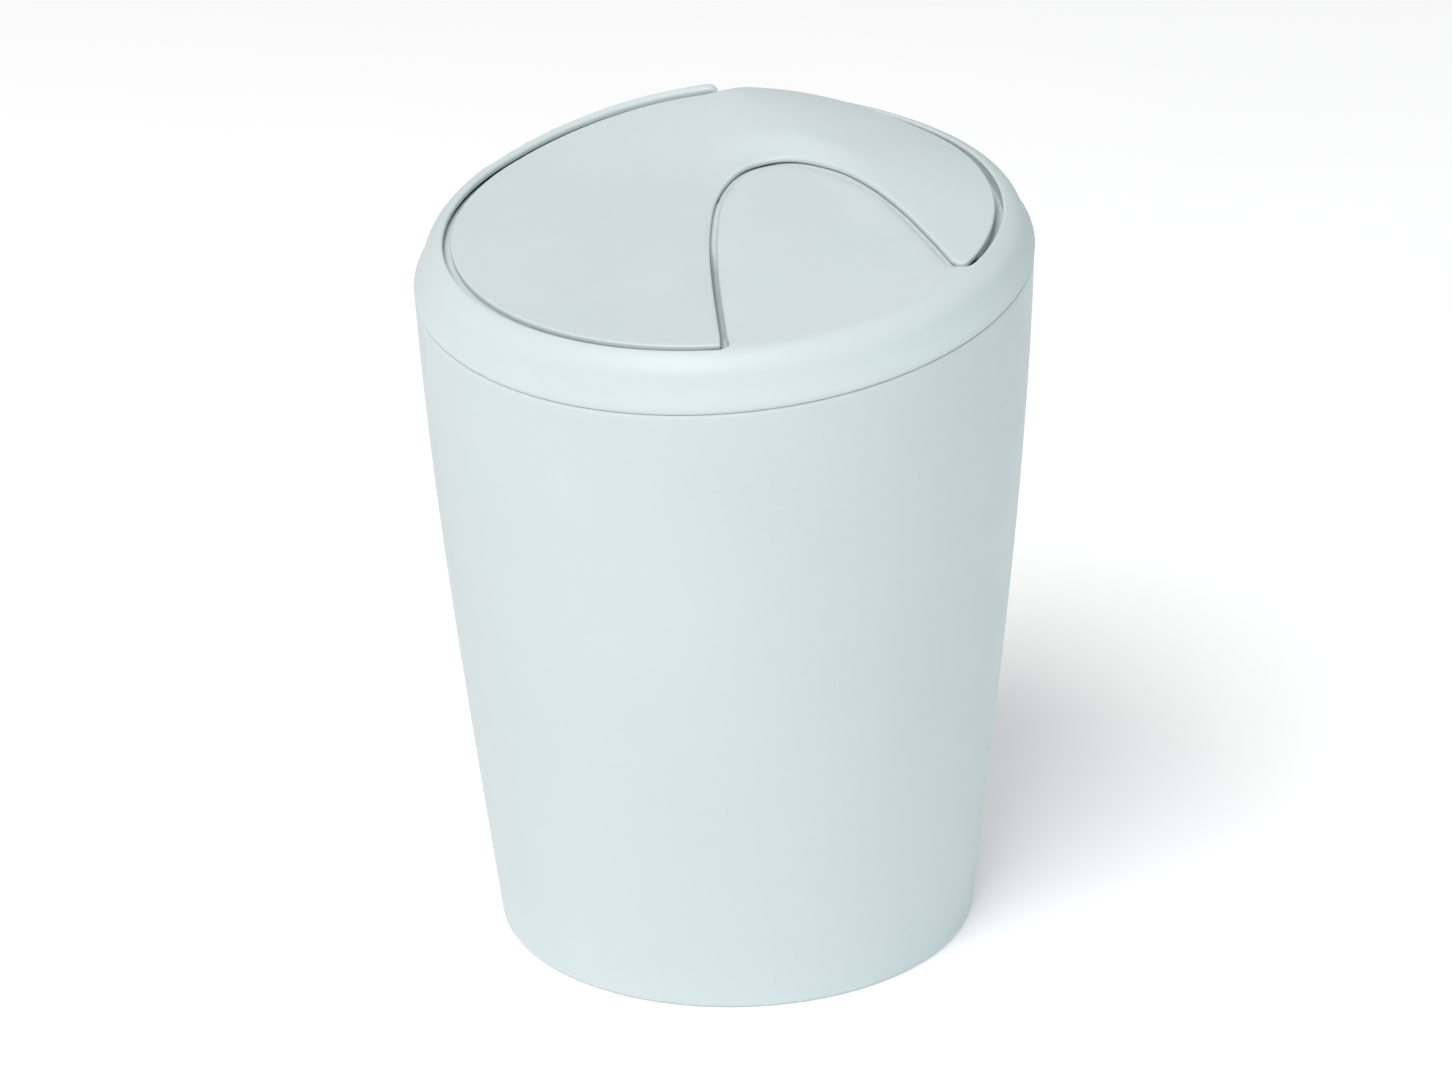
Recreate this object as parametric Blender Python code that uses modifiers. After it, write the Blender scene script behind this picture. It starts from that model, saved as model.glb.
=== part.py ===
"""Round swing-lid waste bin: a tapered bucket, a slanted lid ring and a weighted comma-shaped flap.

Units are metres, +Z is up, -Y is the front.  The origin is the centre of the bucket's foot.
The lid is drawn flat, as (x, y, height above the lid plane), and seated on the slant at the end.
"""
import math

import bmesh
import bpy
from mathutils import Matrix, Vector

MM = 0.001

# bucket: outer radius runs from the foot to the rim with a slight barrel
FOOT_RADIUS = 79.5 * MM
RIM_RADIUS = 99.1 * MM
BARREL_LOW = 1.4 * MM
BARREL_HIGH = 3.7 * MM
RIM_HEIGHT = 235.0 * MM
TALLEST_WALL = 252.0 * MM
BUCKET_WALL = 2.0 * MM
FOOT_ROUNDING = 2.5 * MM
FOOT_RING_INNER = 66.0 * MM
BASE_RECESS = 2.5 * MM
BASE_THICKNESS = 2.5 * MM

# slanted planes: height on the axis, rise per metre to the right and to the back
SEAM_HEIGHT = 227.3 * MM
SEAM_SLOPE = (0.056, 0.152)
LID_HEIGHT = 241.4 * MM
LID_SLOPE = (0.048, 0.129)
GAP = 0.3 * MM

# lid ring and flap
RING_RADIUS = 100.0 * MM
RING_DEPTH = 13.2 * MM
OPENING_RADIUS = 88.8 * MM
FLAP_RADIUS = 86.8 * MM
SEAM_GAP = 1.6 * MM
SKIN = 1.8 * MM
PLATEAU_HEIGHT = 2.0 * MM
CREST_HEIGHT = 4.0 * MM
CREST_START = 36.0 * MM
CREST_WIDTH = 16.0 * MM
DOME_START = 44.0 * MM
CROWN_LIMIT = 88.5 * MM
FLAP_RISE_LEFT = 4.6 * MM
FLAP_RISE_RIGHT = 6.2 * MM
RIM_RISE_LEFT = 5.2 * MM
RIM_RISE_RIGHT = 2.8 * MM
RISE_ANGLE = 50.0
RISE_START = 25.0 * MM
NOTCH_ANGLE = 91.0
LEDGE_TOP = -2.2 * MM
LEDGE_BOTTOM = -3.9 * MM

# pivot: an axle line across the lid from front to back
PIVOT_DROP = 7.0 * MM
PIN_RADIUS = 2.0 * MM
PIN_LENGTH = 12.8 * MM
PIN_INNER_END = 77.8 * MM
HUB_BORE = PIN_RADIUS + 0.15 * MM
HUB_RADIUS = 3.7 * MM
HUB_SPAN = (76.5 * MM, 85.5 * MM)
FRONT_WEB = (-5.4 * MM, -2.8 * MM)
REAR_WEB = (-2.6 * MM, 2.6 * MM)
WEB_BOTTOM = -6.5 * MM
LUG_BORE = PIN_RADIUS + 0.3 * MM
LUG_SPAN = (87.0 * MM, 97.0 * MM)
LUG_HEIGHTS = (-11.0 * MM, -0.5 * MM)
LUG_HALF_WIDTH = 4.5 * MM
LUG_BORE_END = 91.2 * MM
SNAP_SLOT = 3.2 * MM

# counterweight under the right-hand band
WEIGHT_CENTRE = (67.0 * MM, 20.5 * MM)
WEIGHT_SIZE = (11.0 * MM, 38.0 * MM, 7.0 * MM)
WEIGHT_BOTTOM = -8.3 * MM
POCKET_WALL = 1.6 * MM
POCKET_CLEARANCE = 0.4 * MM
POCKET_BOTTOM = -10.0 * MM
COVER_THICKNESS = 1.6 * MM
PLUG_OVERLAP = 0.8 * MM

TURN_STEPS = 72
WALL_STEPS = 7
CELLS = 30

# centre line of the gap between the flap and the fixed tongue, front corner to flap tip
WAVE = [(0.0, -87.8), (-2.2, -51.5), (-3.1, -26.0), (-2.7, -4.5), (-0.6, 14.5), (4.9, 28.0),
        (14.2, 34.3), (24.7, 32.6), (36.6, 23.4), (47.6, 8.1), (56.9, -8.4), (64.3, -26.3),
        (68.5, -38.0), (70.3, -42.3), (72.6, -44.4), (75.2, -44.1), (77.2, -41.6)]
TIP_ANGLE = math.radians(-27.2)
LEFT_START = math.radians(98)
LEFT_END = math.radians(262)
TALL = 12 * MM

COLOURS = {
    "frosted_white": ((0.70, 0.78, 0.78, 1.0), 0.42, 0.0),
    "pin_white": ((0.62, 0.66, 0.66, 1.0), 0.35, 0.0),
    "zinc_steel": ((0.55, 0.56, 0.58, 1.0), 0.35, 1.0),
}


# ---------------------------------------------------------------- shape functions

def smooth(t):
    """Ease from 0 to 1 while t runs from 0 to 1."""
    t = min(1.0, max(0.0, t))
    return t * t * (3.0 - 2.0 * t)


def body_radius(z):
    """Outer radius of the bucket at height z."""
    s = z / RIM_HEIGHT
    barrel = BARREL_LOW + (BARREL_HIGH - BARREL_LOW) * s
    return FOOT_RADIUS + (RIM_RADIUS - FOOT_RADIUS) * s + 4.0 * barrel * s * (1.0 - s)


def seam_z(x, y):
    return SEAM_HEIGHT + SEAM_SLOPE[0] * x + SEAM_SLOPE[1] * y


def lid_z(x, y):
    return LID_HEIGHT + LID_SLOPE[0] * x + LID_SLOPE[1] * y


def ease(t):
    """Gentler than smooth: half a straight ramp, half an eased one."""
    return 0.5 * (min(1.0, max(0.0, t)) + smooth(t))


def back_rise(x, y):
    """How far round towards the back a point lies: 1 at the rear pivot, 0 from RISE_ANGLE away."""
    angle = math.degrees(math.atan2(y, x))
    return ease(1.0 - abs(angle - 90.0) / RISE_ANGLE)


def flap_rise(x, y):
    """How far the flap's rim climbs towards the rear pivot, more on the band's side."""
    towards_band = smooth((x + 6 * MM) / (16 * MM))
    return (FLAP_RISE_LEFT + (FLAP_RISE_RIGHT - FLAP_RISE_LEFT) * towards_band) * back_rise(x, y)


def crown(x, y):
    """Height of the lid's skin above the lid plane.

    The left half is flat, the tongue is a low plateau, the band is domed towards the back, and
    everything falls to the opening's edge, which rises at the rear pivot.
    """
    radius = max(math.hypot(x, y), MM)
    band = smooth((x + 10 * MM) / (40 * MM)) * smooth((y / radius + 0.5) / 1.1)
    table = 1.0 - min(1.0, radius / CROWN_LIMIT) ** 5
    dome = 1.0 - min(1.0, max(0.0, (radius - DOME_START) / (CROWN_LIMIT - DOME_START))) ** 2
    plateau = PLATEAU_HEIGHT * smooth((x + 5 * MM) / (14 * MM))
    crest = CREST_HEIGHT * smooth((radius - CREST_START) / CREST_WIDTH) * band
    from_front = smooth((y + 85 * MM) / (85 * MM))
    swell = (plateau + crest) * (table + (dome - table) * band) * from_front
    return swell + flap_rise(x, y) * smooth((radius - RISE_START) / (OPENING_RADIUS - RISE_START))


def rim_rise(x, y):
    """Extra height of the ring towards the back, with a step down at the rear pivot."""
    angle = math.degrees(math.atan2(y, x))
    at_rim = smooth((math.hypot(x, y) - 80 * MM) / (8 * MM))
    amount = RIM_RISE_LEFT if angle > NOTCH_ANGLE else RIM_RISE_RIGHT
    return amount * at_rim * back_rise(x, y)


def seat_ring_point(x, y, h):
    """Move a point of the flat ring onto the bucket's slanted rim.

    The ring is drawn RING_RADIUS wide and RING_DEPTH deep, then stretched to meet the seam.
    """
    radius = math.hypot(x, y)
    fit = body_radius(seam_z(x, y)) / RING_RADIUS
    share = smooth((radius - OPENING_RADIUS) / (8 * MM))
    x *= 1.0 + (fit - 1.0) * share
    y *= 1.0 + (fit - 1.0) * share
    depth = lid_z(x, y) - seam_z(x, y)
    lift = rim_rise(x, y) * min(1.0, max(0.0, 1.0 + h / RING_DEPTH))
    return x, y, lid_z(x, y) + h * depth / RING_DEPTH + lift


def seat_flap_point(x, y, h):
    """Move a point of the flat flap or tongue onto the lid plane."""
    return x, y, lid_z(x, y) + h


def lift_to_flap_edge(x, y, h):
    """Follow the rise of the flap's rim towards the back."""
    return x, y, h + flap_rise(x, y)


def lift_to_right_rim(x, y, h):
    """Follow the lower rise of the ring on the right of the rear pivot."""
    return x, y, h + RIM_RISE_RIGHT * back_rise(x, y)


def arc(radius, start, end, steps):
    """Points of an arc about the bin's axis, both ends included."""
    angles = [start + (end - start) * i / steps for i in range(steps + 1)]
    return [(radius * math.cos(a), radius * math.sin(a)) for a in angles]


def smooth_path(points, steps=4):
    """Catmull-Rom curve through the points."""
    ends = [points[0]] + points + [points[-1]]
    path = []
    for i in range(len(points) - 1):
        p0, p1, p2, p3 = [Vector(p) for p in ends[i:i + 4]]
        for k in range(steps):
            t = k / steps
            a = 2 * p1 + (p2 - p0) * t
            b = (2 * p0 - 5 * p1 + 4 * p2 - p3) * t * t
            c = (3 * p1 - p0 - 3 * p2 + p3) * t ** 3
            path.append(tuple((a + b + c) / 2))
    path.append(points[-1])
    return path


def offset_path(path, distance):
    """Shift an open path sideways, to the left of its direction."""
    moved = []
    for i, (x, y) in enumerate(path):
        ahead = Vector(path[min(i + 1, len(path) - 1)])
        behind = Vector(path[max(i - 1, 0)])
        along = (ahead - behind).normalized()
        moved.append((x - along.y * distance, y + along.x * distance))
    return moved


def wave_path(offset=0.0):
    """The gap line, shifted towards the flap by offset."""
    return offset_path(smooth_path([(x * MM, y * MM) for x, y in WAVE]), offset)


def flap_outline():
    edge = wave_path(SEAM_GAP / 2)
    inside = [p for p in edge if math.hypot(*p) < FLAP_RADIUS - 0.4 * MM]
    start = math.atan2(inside[-1][1], inside[-1][0]) + math.radians(1.5)
    end = math.atan2(inside[0][1], inside[0][0]) + 2 * math.pi - math.radians(0.6)
    return inside + arc(FLAP_RADIUS, start, end, 60)


def tongue_outline():
    edge = wave_path(-SEAM_GAP / 2)
    inside = [p for p in edge if math.hypot(*p) < OPENING_RADIUS + 0.2 * MM]
    start = TIP_ANGLE - math.radians(1.0)
    rim = arc(OPENING_RADIUS + 1.2 * MM, start, math.radians(-89.3), 16)
    return inside + rim


# ---------------------------------------------------------------- mesh tools

def clear_scene():
    for obj in list(bpy.data.objects):
        bpy.data.objects.remove(obj, do_unlink=True)


def make_collection(name):
    collection = bpy.data.collections.new(name)
    bpy.context.scene.collection.children.link(collection)
    return collection


def make_material(name, colour, roughness, metallic):
    material = bpy.data.materials.new(name)
    material.use_nodes = True
    shader = material.node_tree.nodes["Principled BSDF"]
    shader.inputs["Base Color"].default_value = colour
    shader.inputs["Roughness"].default_value = roughness
    shader.inputs["Metallic"].default_value = metallic
    return material


def add_mesh(name, mesh, collection, material=None):
    obj = bpy.data.objects.new(name, mesh)
    collection.objects.link(obj)
    if material is not None:
        mesh.materials.clear()
        mesh.materials.append(material)
    return obj


def baked_mesh(obj):
    """The object's evaluated mesh; the object itself is removed."""
    bpy.context.view_layer.update()
    mesh = bpy.data.meshes.new_from_object(obj.evaluated_get(bpy.context.evaluated_depsgraph_get()))
    bpy.data.objects.remove(obj, do_unlink=True)
    return mesh


def weld(mesh, distance=1e-6):
    """Join the loose caps of a curve, or the poles of a turned shape."""
    work = bmesh.new()
    work.from_mesh(mesh)
    bmesh.ops.remove_doubles(work, verts=work.verts, dist=distance)
    work.to_mesh(mesh)
    work.free()
    return mesh


def turned_mesh(profile, steps=TURN_STEPS):
    """Turn a closed (radius, height) profile about Z; it starts down its outer side."""
    mesh = bpy.data.meshes.new("profile")
    edges = [(i, (i + 1) % len(profile)) for i in range(len(profile))]
    mesh.from_pydata([(r, 0.0, h) for r, h in profile], edges, [])
    obj = bpy.data.objects.new("profile", mesh)
    bpy.context.scene.collection.objects.link(obj)
    screw = obj.modifiers.new("turn", "SCREW")
    screw.steps = steps
    screw.render_steps = steps
    screw.use_merge_vertices = True
    screw.merge_threshold = 1e-5
    return weld(baked_mesh(obj))


def prism_mesh(outline, low, high):
    """Extrude a flat outline between two heights."""
    curve = bpy.data.curves.new("outline", "CURVE")
    curve.dimensions = "2D"
    curve.fill_mode = "BOTH"
    curve.extrude = (high - low) / 2
    spline = curve.splines.new("POLY")
    spline.points.add(len(outline) - 1)
    for point, (x, y) in zip(spline.points, outline):
        point.co = (x, y, 0.0, 1.0)
    spline.use_cyclic_u = True
    obj = bpy.data.objects.new("outline", curve)
    bpy.context.scene.collection.objects.link(obj)
    mesh = weld(baked_mesh(obj))
    mesh.transform(Matrix.Translation((0.0, 0.0, (high + low) / 2)))
    return mesh


def sector_mesh(profile, start, end, steps):
    """Part of a flat turned shape: a closed (radius, height) profile spun between two angles."""
    work = bmesh.new()
    ring = [work.verts.new((r * math.cos(start), r * math.sin(start), h)) for r, h in profile]
    face = work.faces.new(ring)
    bmesh.ops.spin(work, geom=[face] + face.verts[:] + face.edges[:], cent=(0, 0, 0), axis=(0, 0, 1),
                   angle=end - start, steps=steps)
    bmesh.ops.triangulate(work, faces=work.faces)
    bmesh.ops.recalc_face_normals(work, faces=work.faces)
    mesh = bpy.data.meshes.new("sector")
    work.to_mesh(mesh)
    work.free()
    return mesh


def box_mesh(low, high):
    """An upright box between two corners."""
    work = bmesh.new()
    size = Vector(high) - Vector(low)
    middle = (Vector(high) + Vector(low)) / 2
    place = Matrix.Translation(middle) @ Matrix.Diagonal((*size, 1.0))
    bmesh.ops.create_cube(work, size=1.0, matrix=place)
    mesh = bpy.data.meshes.new("box")
    work.to_mesh(mesh)
    work.free()
    return mesh


def rod_mesh(radius, start, end, sides=24):
    """A cylinder along the pivot line between two distances from the bin's middle."""
    work = bmesh.new()
    place = PIVOT_FRAME @ Matrix.Translation((0.0, (start + end) / 2, 0.0))
    place = place @ Matrix.Rotation(math.radians(90), 4, "X")
    bmesh.ops.create_cone(work, cap_ends=True, segments=sides, radius1=radius, radius2=radius,
                          depth=abs(end - start), matrix=place)
    mesh = bpy.data.meshes.new("rod")
    work.to_mesh(mesh)
    work.free()
    return mesh


def crowned_mesh(low, high):
    """A sheet that follows the lid's domed skin, between two heights above the skin's top."""
    work = bmesh.new()
    reach = OPENING_RADIUS + 6 * MM
    bmesh.ops.create_grid(work, x_segments=CELLS, y_segments=CELLS, size=reach)
    for vertex in work.verts:
        vertex.co.z = crown(vertex.co.x, vertex.co.y) + low
    bmesh.ops.triangulate(work, faces=work.faces)
    extruded = bmesh.ops.extrude_face_region(work, geom=work.faces[:])["geom"]
    raised = [item for item in extruded if isinstance(item, bmesh.types.BMVert)]
    bmesh.ops.translate(work, verts=raised, vec=(0.0, 0.0, high - low))
    bmesh.ops.recalc_face_normals(work, faces=work.faces)
    mesh = bpy.data.meshes.new("sheet")
    work.to_mesh(mesh)
    work.free()
    return mesh


def reshape(mesh, seat):
    """Move every vertex of a flat lid mesh to its place on the slant."""
    for vertex in mesh.vertices:
        vertex.co = seat(*vertex.co)
    mesh.update()
    return mesh


def boolean(mesh, tool_mesh, operation):
    """One exact Boolean between two closed meshes."""
    body = add_mesh("body", mesh, CUTTERS)
    tool = add_mesh("tool", tool_mesh, CUTTERS)
    tool.hide_render = True
    tool.display_type = "WIRE"
    modifier = body.modifiers.new(operation.lower(), "BOOLEAN")
    modifier.operation = operation
    modifier.solver = "EXACT"
    modifier.object = tool
    result = baked_mesh(body)
    bpy.data.objects.remove(tool, do_unlink=True)
    return result


def joined(mesh, additions):
    for addition in additions:
        mesh = boolean(mesh, addition, "UNION")
    return mesh


def cut(mesh, tools):
    for tool in tools:
        mesh = boolean(mesh, tool, "DIFFERENCE")
    return mesh


def finish_round(mesh, sharp_angle=30.0):
    mesh.shade_smooth()
    mesh.set_sharp_from_angle(angle=math.radians(sharp_angle))
    return mesh


def add_part(name, mesh, material, parent):
    """Add a finished sub-part under its parent, with its origin at the parent."""
    mesh.transform(parent.matrix_world.inverted())
    part = add_mesh(name, finish_round(mesh), PARTS, material)
    part.parent = parent
    return part


# ---------------------------------------------------------------- sub-parts

def build_bucket():
    """Tapered bucket with a rounded foot, a recessed base and a slanted rim."""
    levels = [TALLEST_WALL * i / WALL_STEPS for i in range(1, WALL_STEPS + 1)]
    outer = [(body_radius(z), z) for z in reversed(levels)]
    foot = []
    for i in range(5):
        a = math.radians(22.5 * i)
        r = body_radius(FOOT_ROUNDING) - FOOT_ROUNDING * (1 - math.cos(a))
        foot.append((r, FOOT_ROUNDING * (1 - math.sin(a))))
    under = [(FOOT_RING_INNER, 0.0), (FOOT_RING_INNER - BASE_RECESS, BASE_RECESS), (0.0, BASE_RECESS)]
    floor_z = BASE_RECESS + BASE_THICKNESS
    inner_foot = body_radius(floor_z + 3 * MM) - BUCKET_WALL
    inside = [(0.0, floor_z), (inner_foot - 3 * MM, floor_z), (inner_foot, floor_z + 3 * MM)]
    inside += [(body_radius(z) - BUCKET_WALL, z) for z in levels]
    top = box_mesh((-0.13, -0.13, 0.0), (0.13, 0.13, 0.12))
    reshape(top, lambda x, y, h: (x, y, seam_z(x, y) - GAP + h))
    mesh = cut(turned_mesh(outer + foot + under + inside), [top])
    add_part("bucket", mesh, PLASTIC, BIN_FRAME)


def ring_mesh():
    """The lid ring: a rolled shoulder over the rim and a skirt inside the bucket."""
    profile = [(88.8, 0.4), (91.0, 0.1), (94.0, -2.2), (97.0, -5.6), (98.6, -8.0), (100.6, -13.2),
               (97.5, -13.2), (96.7, -27.0), (95.1, -27.0), (95.6, -12.5), (94.6, -7.0),
               (91.6, -3.0), (90.4, -1.6), (88.8, -1.4)]
    return turned_mesh([(r * MM, h * MM) for r, h in profile])


def ring_ledge():
    """Stop under the band along the ring: a shelf with the rib that hangs it from the lip."""
    inner, outer, rib = 84.4 * MM, 90.6 * MM, 89.2 * MM
    profile = [(inner, LEDGE_BOTTOM), (outer, LEDGE_BOTTOM), (outer, -0.6 * MM), (rib, -0.6 * MM),
               (rib, LEDGE_TOP), (inner, LEDGE_TOP)]
    ledge = sector_mesh(profile, TIP_ANGLE, math.radians(84), 24)
    return reshape(reshape(ledge, lift_to_right_rim), seat_flap_point)


def tongue_mesh():
    sheet = boolean(crowned_mesh(-SKIN, 0.0), prism_mesh(tongue_outline(), -20 * MM, 20 * MM), "INTERSECT")
    return reshape(sheet, seat_flap_point)


def shoulder_core():
    """A solid that ends just inside the ring's outer surface, to trim the lugs."""
    outside = [(0.0, -0.8), (91.0, -0.9), (94.0, -3.2), (96.4, -6.4), (97.8, -8.6), (99.0, -12.9),
               (99.0, -20.0), (0.0, -20.0)]
    return reshape(turned_mesh([(r * MM, h * MM) for r, h in outside]), seat_ring_point)


def pivot_lug(side):
    """Bearing block under the shoulder, front (-1) or rear (1), fused to the ring's wall."""
    low, high = sorted((side * LUG_SPAN[0], side * LUG_SPAN[1]))
    block = box_mesh((-LUG_HALF_WIDTH, low, LUG_HEIGHTS[0]), (LUG_HALF_WIDTH, high, LUG_HEIGHTS[1]))
    return boolean(reshape(block, seat_flap_point), shoulder_core(), "INTERSECT")


def pivot_bearing(side):
    """The bearing hole, open downwards so that the pin snaps in."""
    mouth = side * (LUG_SPAN[0] - 2 * MM)
    low, high = sorted((mouth, side * (LUG_BORE_END - 0.2 * MM)))
    bottom = LUG_HEIGHTS[0] - 3 * MM
    slot = box_mesh((-SNAP_SLOT / 2, low, bottom), (SNAP_SLOT / 2, high, -PIVOT_DROP))
    return [rod_mesh(LUG_BORE, mouth, side * LUG_BORE_END), reshape(slot, seat_flap_point)]


def build_lid_ring():
    """Lid ring with its fixed tongue, stop ledge and two snap-in pivot bearings."""
    mesh = reshape(ring_mesh(), seat_ring_point)
    mesh = joined(mesh, [tongue_mesh(), ring_ledge(), pivot_lug(-1), pivot_lug(1)])
    mesh = cut(mesh, pivot_bearing(-1) + pivot_bearing(1))
    add_part("lid_ring", mesh, PLASTIC, LID_FRAME)


def pocket_frame():
    """Pocket axes: x radial, y along the band, at the counterweight's centre."""
    angle = math.atan2(WEIGHT_CENTRE[1], WEIGHT_CENTRE[0])
    return Matrix.Translation((*WEIGHT_CENTRE, 0.0)) @ Matrix.Rotation(angle, 4, "Z")


def pocket_box(width, length, low, high):
    mesh = box_mesh((-width / 2, -length / 2, low), (width / 2, length / 2, high))
    mesh.transform(pocket_frame())
    return mesh


def pocket_size():
    extra = 2 * (POCKET_CLEARANCE + POCKET_WALL)
    return WEIGHT_SIZE[0] + extra, WEIGHT_SIZE[1] + extra


def under_skin(block):
    """Trim a tall block so that its top ends inside the skin."""
    return cut(block, [crowned_mesh(-SKIN / 2, 16 * MM)])


def stop_flange():
    """Downturned edge of the left half, with the flange that closes against the ring's lip."""
    inner, rib, outer = 84.4 * MM, 86.3 * MM, 90.0 * MM
    profile = [(inner, LEDGE_BOTTOM), (outer, LEDGE_BOTTOM), (outer, LEDGE_TOP), (rib, LEDGE_TOP),
               (rib, TALL), (inner, TALL)]
    return under_skin(reshape(sector_mesh(profile, LEFT_START, LEFT_END, 40), lift_to_flap_edge))


def band_edge():
    """Downturned edge of the band, which rests on the ring's ledge."""
    inner, outer, bottom = 84.6 * MM, 86.1 * MM, LEDGE_TOP + 2 * GAP
    profile = [(inner, bottom), (outer, bottom), (outer, TALL), (inner, TALL)]
    start, end = TIP_ANGLE + math.radians(4), math.radians(86)
    return under_skin(reshape(sector_mesh(profile, start, end, 30), lift_to_flap_edge))


def pocket_mesh():
    """Open-bottomed box that holds the counterweight."""
    width, length = pocket_size()
    outside = under_skin(pocket_box(width, length, POCKET_BOTTOM, TALL))
    inside = pocket_box(width - 2 * POCKET_WALL, length - 2 * POCKET_WALL, POCKET_BOTTOM - MM, TALL)
    return cut(outside, [inside])


def hub_mesh(side):
    """Pivot hub: a bored barrel and the web that hangs it from the skin."""
    left, right = FRONT_WEB if side < 0 else REAR_WEB
    low, high = sorted((side * (HUB_SPAN[0] + 0.4 * MM), side * (HUB_SPAN[1] - 0.5 * MM)))
    web = reshape(under_skin(box_mesh((left, low, WEB_BOTTOM), (right, high, TALL))), seat_flap_point)
    barrel = joined(web, [rod_mesh(HUB_RADIUS, side * HUB_SPAN[0], side * HUB_SPAN[1])])
    return cut(barrel, [rod_mesh(HUB_BORE, side * (PIN_INNER_END - GAP), side * (HUB_SPAN[1] + MM))])


def build_flap():
    """Comma-shaped flap: domed skin, stop flange, pivot hubs and counterweight pocket."""
    skin = boolean(crowned_mesh(-SKIN, 0.0), prism_mesh(flap_outline(), -20 * MM, 20 * MM), "INTERSECT")
    mesh = reshape(joined(skin, [stop_flange(), band_edge(), pocket_mesh()]), seat_flap_point)
    add_part("swing_flap", joined(mesh, [hub_mesh(-1), hub_mesh(1)]), PLASTIC, FLAP_PIVOT)


def build_pins():
    """Two short axles, pressed in the flap's hubs and turning in the ring's bearings."""
    for name, side in (("pivot_pin_front", -1), ("pivot_pin_rear", 1)):
        mesh = rod_mesh(PIN_RADIUS, side * PIN_INNER_END, side * (PIN_INNER_END + PIN_LENGTH))
        add_part(name, mesh, PIN_PLASTIC, FLAP_PIVOT)


def build_counterweight():
    """Steel bar that closes the flap."""
    width, length, height = WEIGHT_SIZE
    mesh = pocket_box(width, length, WEIGHT_BOTTOM, WEIGHT_BOTTOM + height)
    add_part("counterweight", reshape(mesh, seat_flap_point), STEEL, FLAP_PIVOT)


def build_weight_cover():
    """Snap-in plate that keeps the bar in its pocket."""
    width, length = pocket_size()
    top = POCKET_BOTTOM - GAP
    plate = reshape(pocket_box(width, length, top - COVER_THICKNESS, top), seat_flap_point)
    plug = pocket_box(WEIGHT_SIZE[0], WEIGHT_SIZE[1], top - PLUG_OVERLAP, WEIGHT_BOTTOM - GAP)
    add_part("weight_cover", joined(plate, [reshape(plug, seat_flap_point)]), PLASTIC, FLAP_PIVOT)


def make_empty(name, place):
    empty = bpy.data.objects.new(name, None)
    empty.matrix_world = place
    PARTS.objects.link(empty)
    return empty


clear_scene()
PARTS = make_collection("swing_lid_bin")
CUTTERS = make_collection("cutters")
PLASTIC = make_material("frosted_white", *COLOURS["frosted_white"])
PIN_PLASTIC = make_material("pin_white", *COLOURS["pin_white"])
STEEL = make_material("zinc_steel", *COLOURS["zinc_steel"])

# the pivot line runs front to back in the lid plane, a little below the skin
PIVOT_TILT = math.atan(LID_SLOPE[1])
PIVOT_FRAME = Matrix.Translation((0.0, 0.0, LID_HEIGHT - PIVOT_DROP)) @ Matrix.Rotation(PIVOT_TILT, 4, "X")
BIN_FRAME = make_empty("bin_frame", Matrix.Identity(4))
LID_FRAME = make_empty("lid_frame", Matrix.Translation((0.0, 0.0, SEAM_HEIGHT)))
FLAP_PIVOT = make_empty("flap_pivot", PIVOT_FRAME)

build_bucket()
build_lid_ring()
build_flap()
build_pins()
build_counterweight()
build_weight_cover()
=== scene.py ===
"""Looks of the round swing-lid waste bin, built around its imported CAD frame.

Lengths are millimetres until a mesh is made, +Z is up and -Y is the front.  The lid's surfaces
are drawn flat, as (x, y, height above the lid plane), and seated on the lid's slant at the end.
"""
import math

import bmesh
import bpy
import numpy as np
from mathutils import Matrix, Vector
from mathutils.geometry import delaunay_2d_cdt


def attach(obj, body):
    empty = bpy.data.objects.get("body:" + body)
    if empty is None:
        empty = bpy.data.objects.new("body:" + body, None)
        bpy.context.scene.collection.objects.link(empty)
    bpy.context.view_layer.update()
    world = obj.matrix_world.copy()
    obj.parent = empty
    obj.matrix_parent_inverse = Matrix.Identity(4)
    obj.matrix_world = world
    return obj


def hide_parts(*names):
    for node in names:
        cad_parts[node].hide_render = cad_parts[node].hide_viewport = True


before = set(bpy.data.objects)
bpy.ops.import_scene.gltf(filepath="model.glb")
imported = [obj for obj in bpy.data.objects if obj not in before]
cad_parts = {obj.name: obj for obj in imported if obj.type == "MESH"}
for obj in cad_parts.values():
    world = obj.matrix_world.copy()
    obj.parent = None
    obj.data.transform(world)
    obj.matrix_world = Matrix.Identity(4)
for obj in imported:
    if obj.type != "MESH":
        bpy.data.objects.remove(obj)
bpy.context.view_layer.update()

METRE = 0.001

# bucket
FOOT_RADIUS = 79.5
RIM_RADIUS = 99.1
BARREL_LOW = 1.4
BARREL_HIGH = 3.7
RIM_HEIGHT = 235.0
BUCKET_WALL = 2.0
FOOT_ROUNDING = 2.5
FOOT_RING_INNER = 66.0
BASE_RECESS = 2.5
BASE_THICKNESS = 2.5
FLOOR_CORNER = 4.0
FLOOR_RADII = (0.6, 6.0, 20.0, 38.0, 55.0, 66.0)
LIP_ROUNDING = 0.55
LIP_CHAMFER = (0.5, 1.6)
# underside from the foot ring inwards, over a moulded ring to the gate, as (radius, height)
UNDERSIDE = [(FOOT_RING_INNER + 0.6, 0.0), (FOOT_RING_INNER, 0.15), (FOOT_RING_INNER - 0.5, 0.6),
             (FOOT_RING_INNER - 2.0, 2.1), (FOOT_RING_INNER - 2.5, 2.4),
             (FOOT_RING_INNER - 3.2, BASE_RECESS), (45.0, BASE_RECESS), (44.4, 2.4), (44.0, 2.1),
             (42.0, 2.1), (41.6, 2.4), (41.0, BASE_RECESS), (9.0, BASE_RECESS), (8.5, 2.6),
             (8.0, 2.9), (3.4, 2.9), (3.0, 2.7), (2.6, 1.6), (2.0, 1.4), (0.4, 1.4)]

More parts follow.
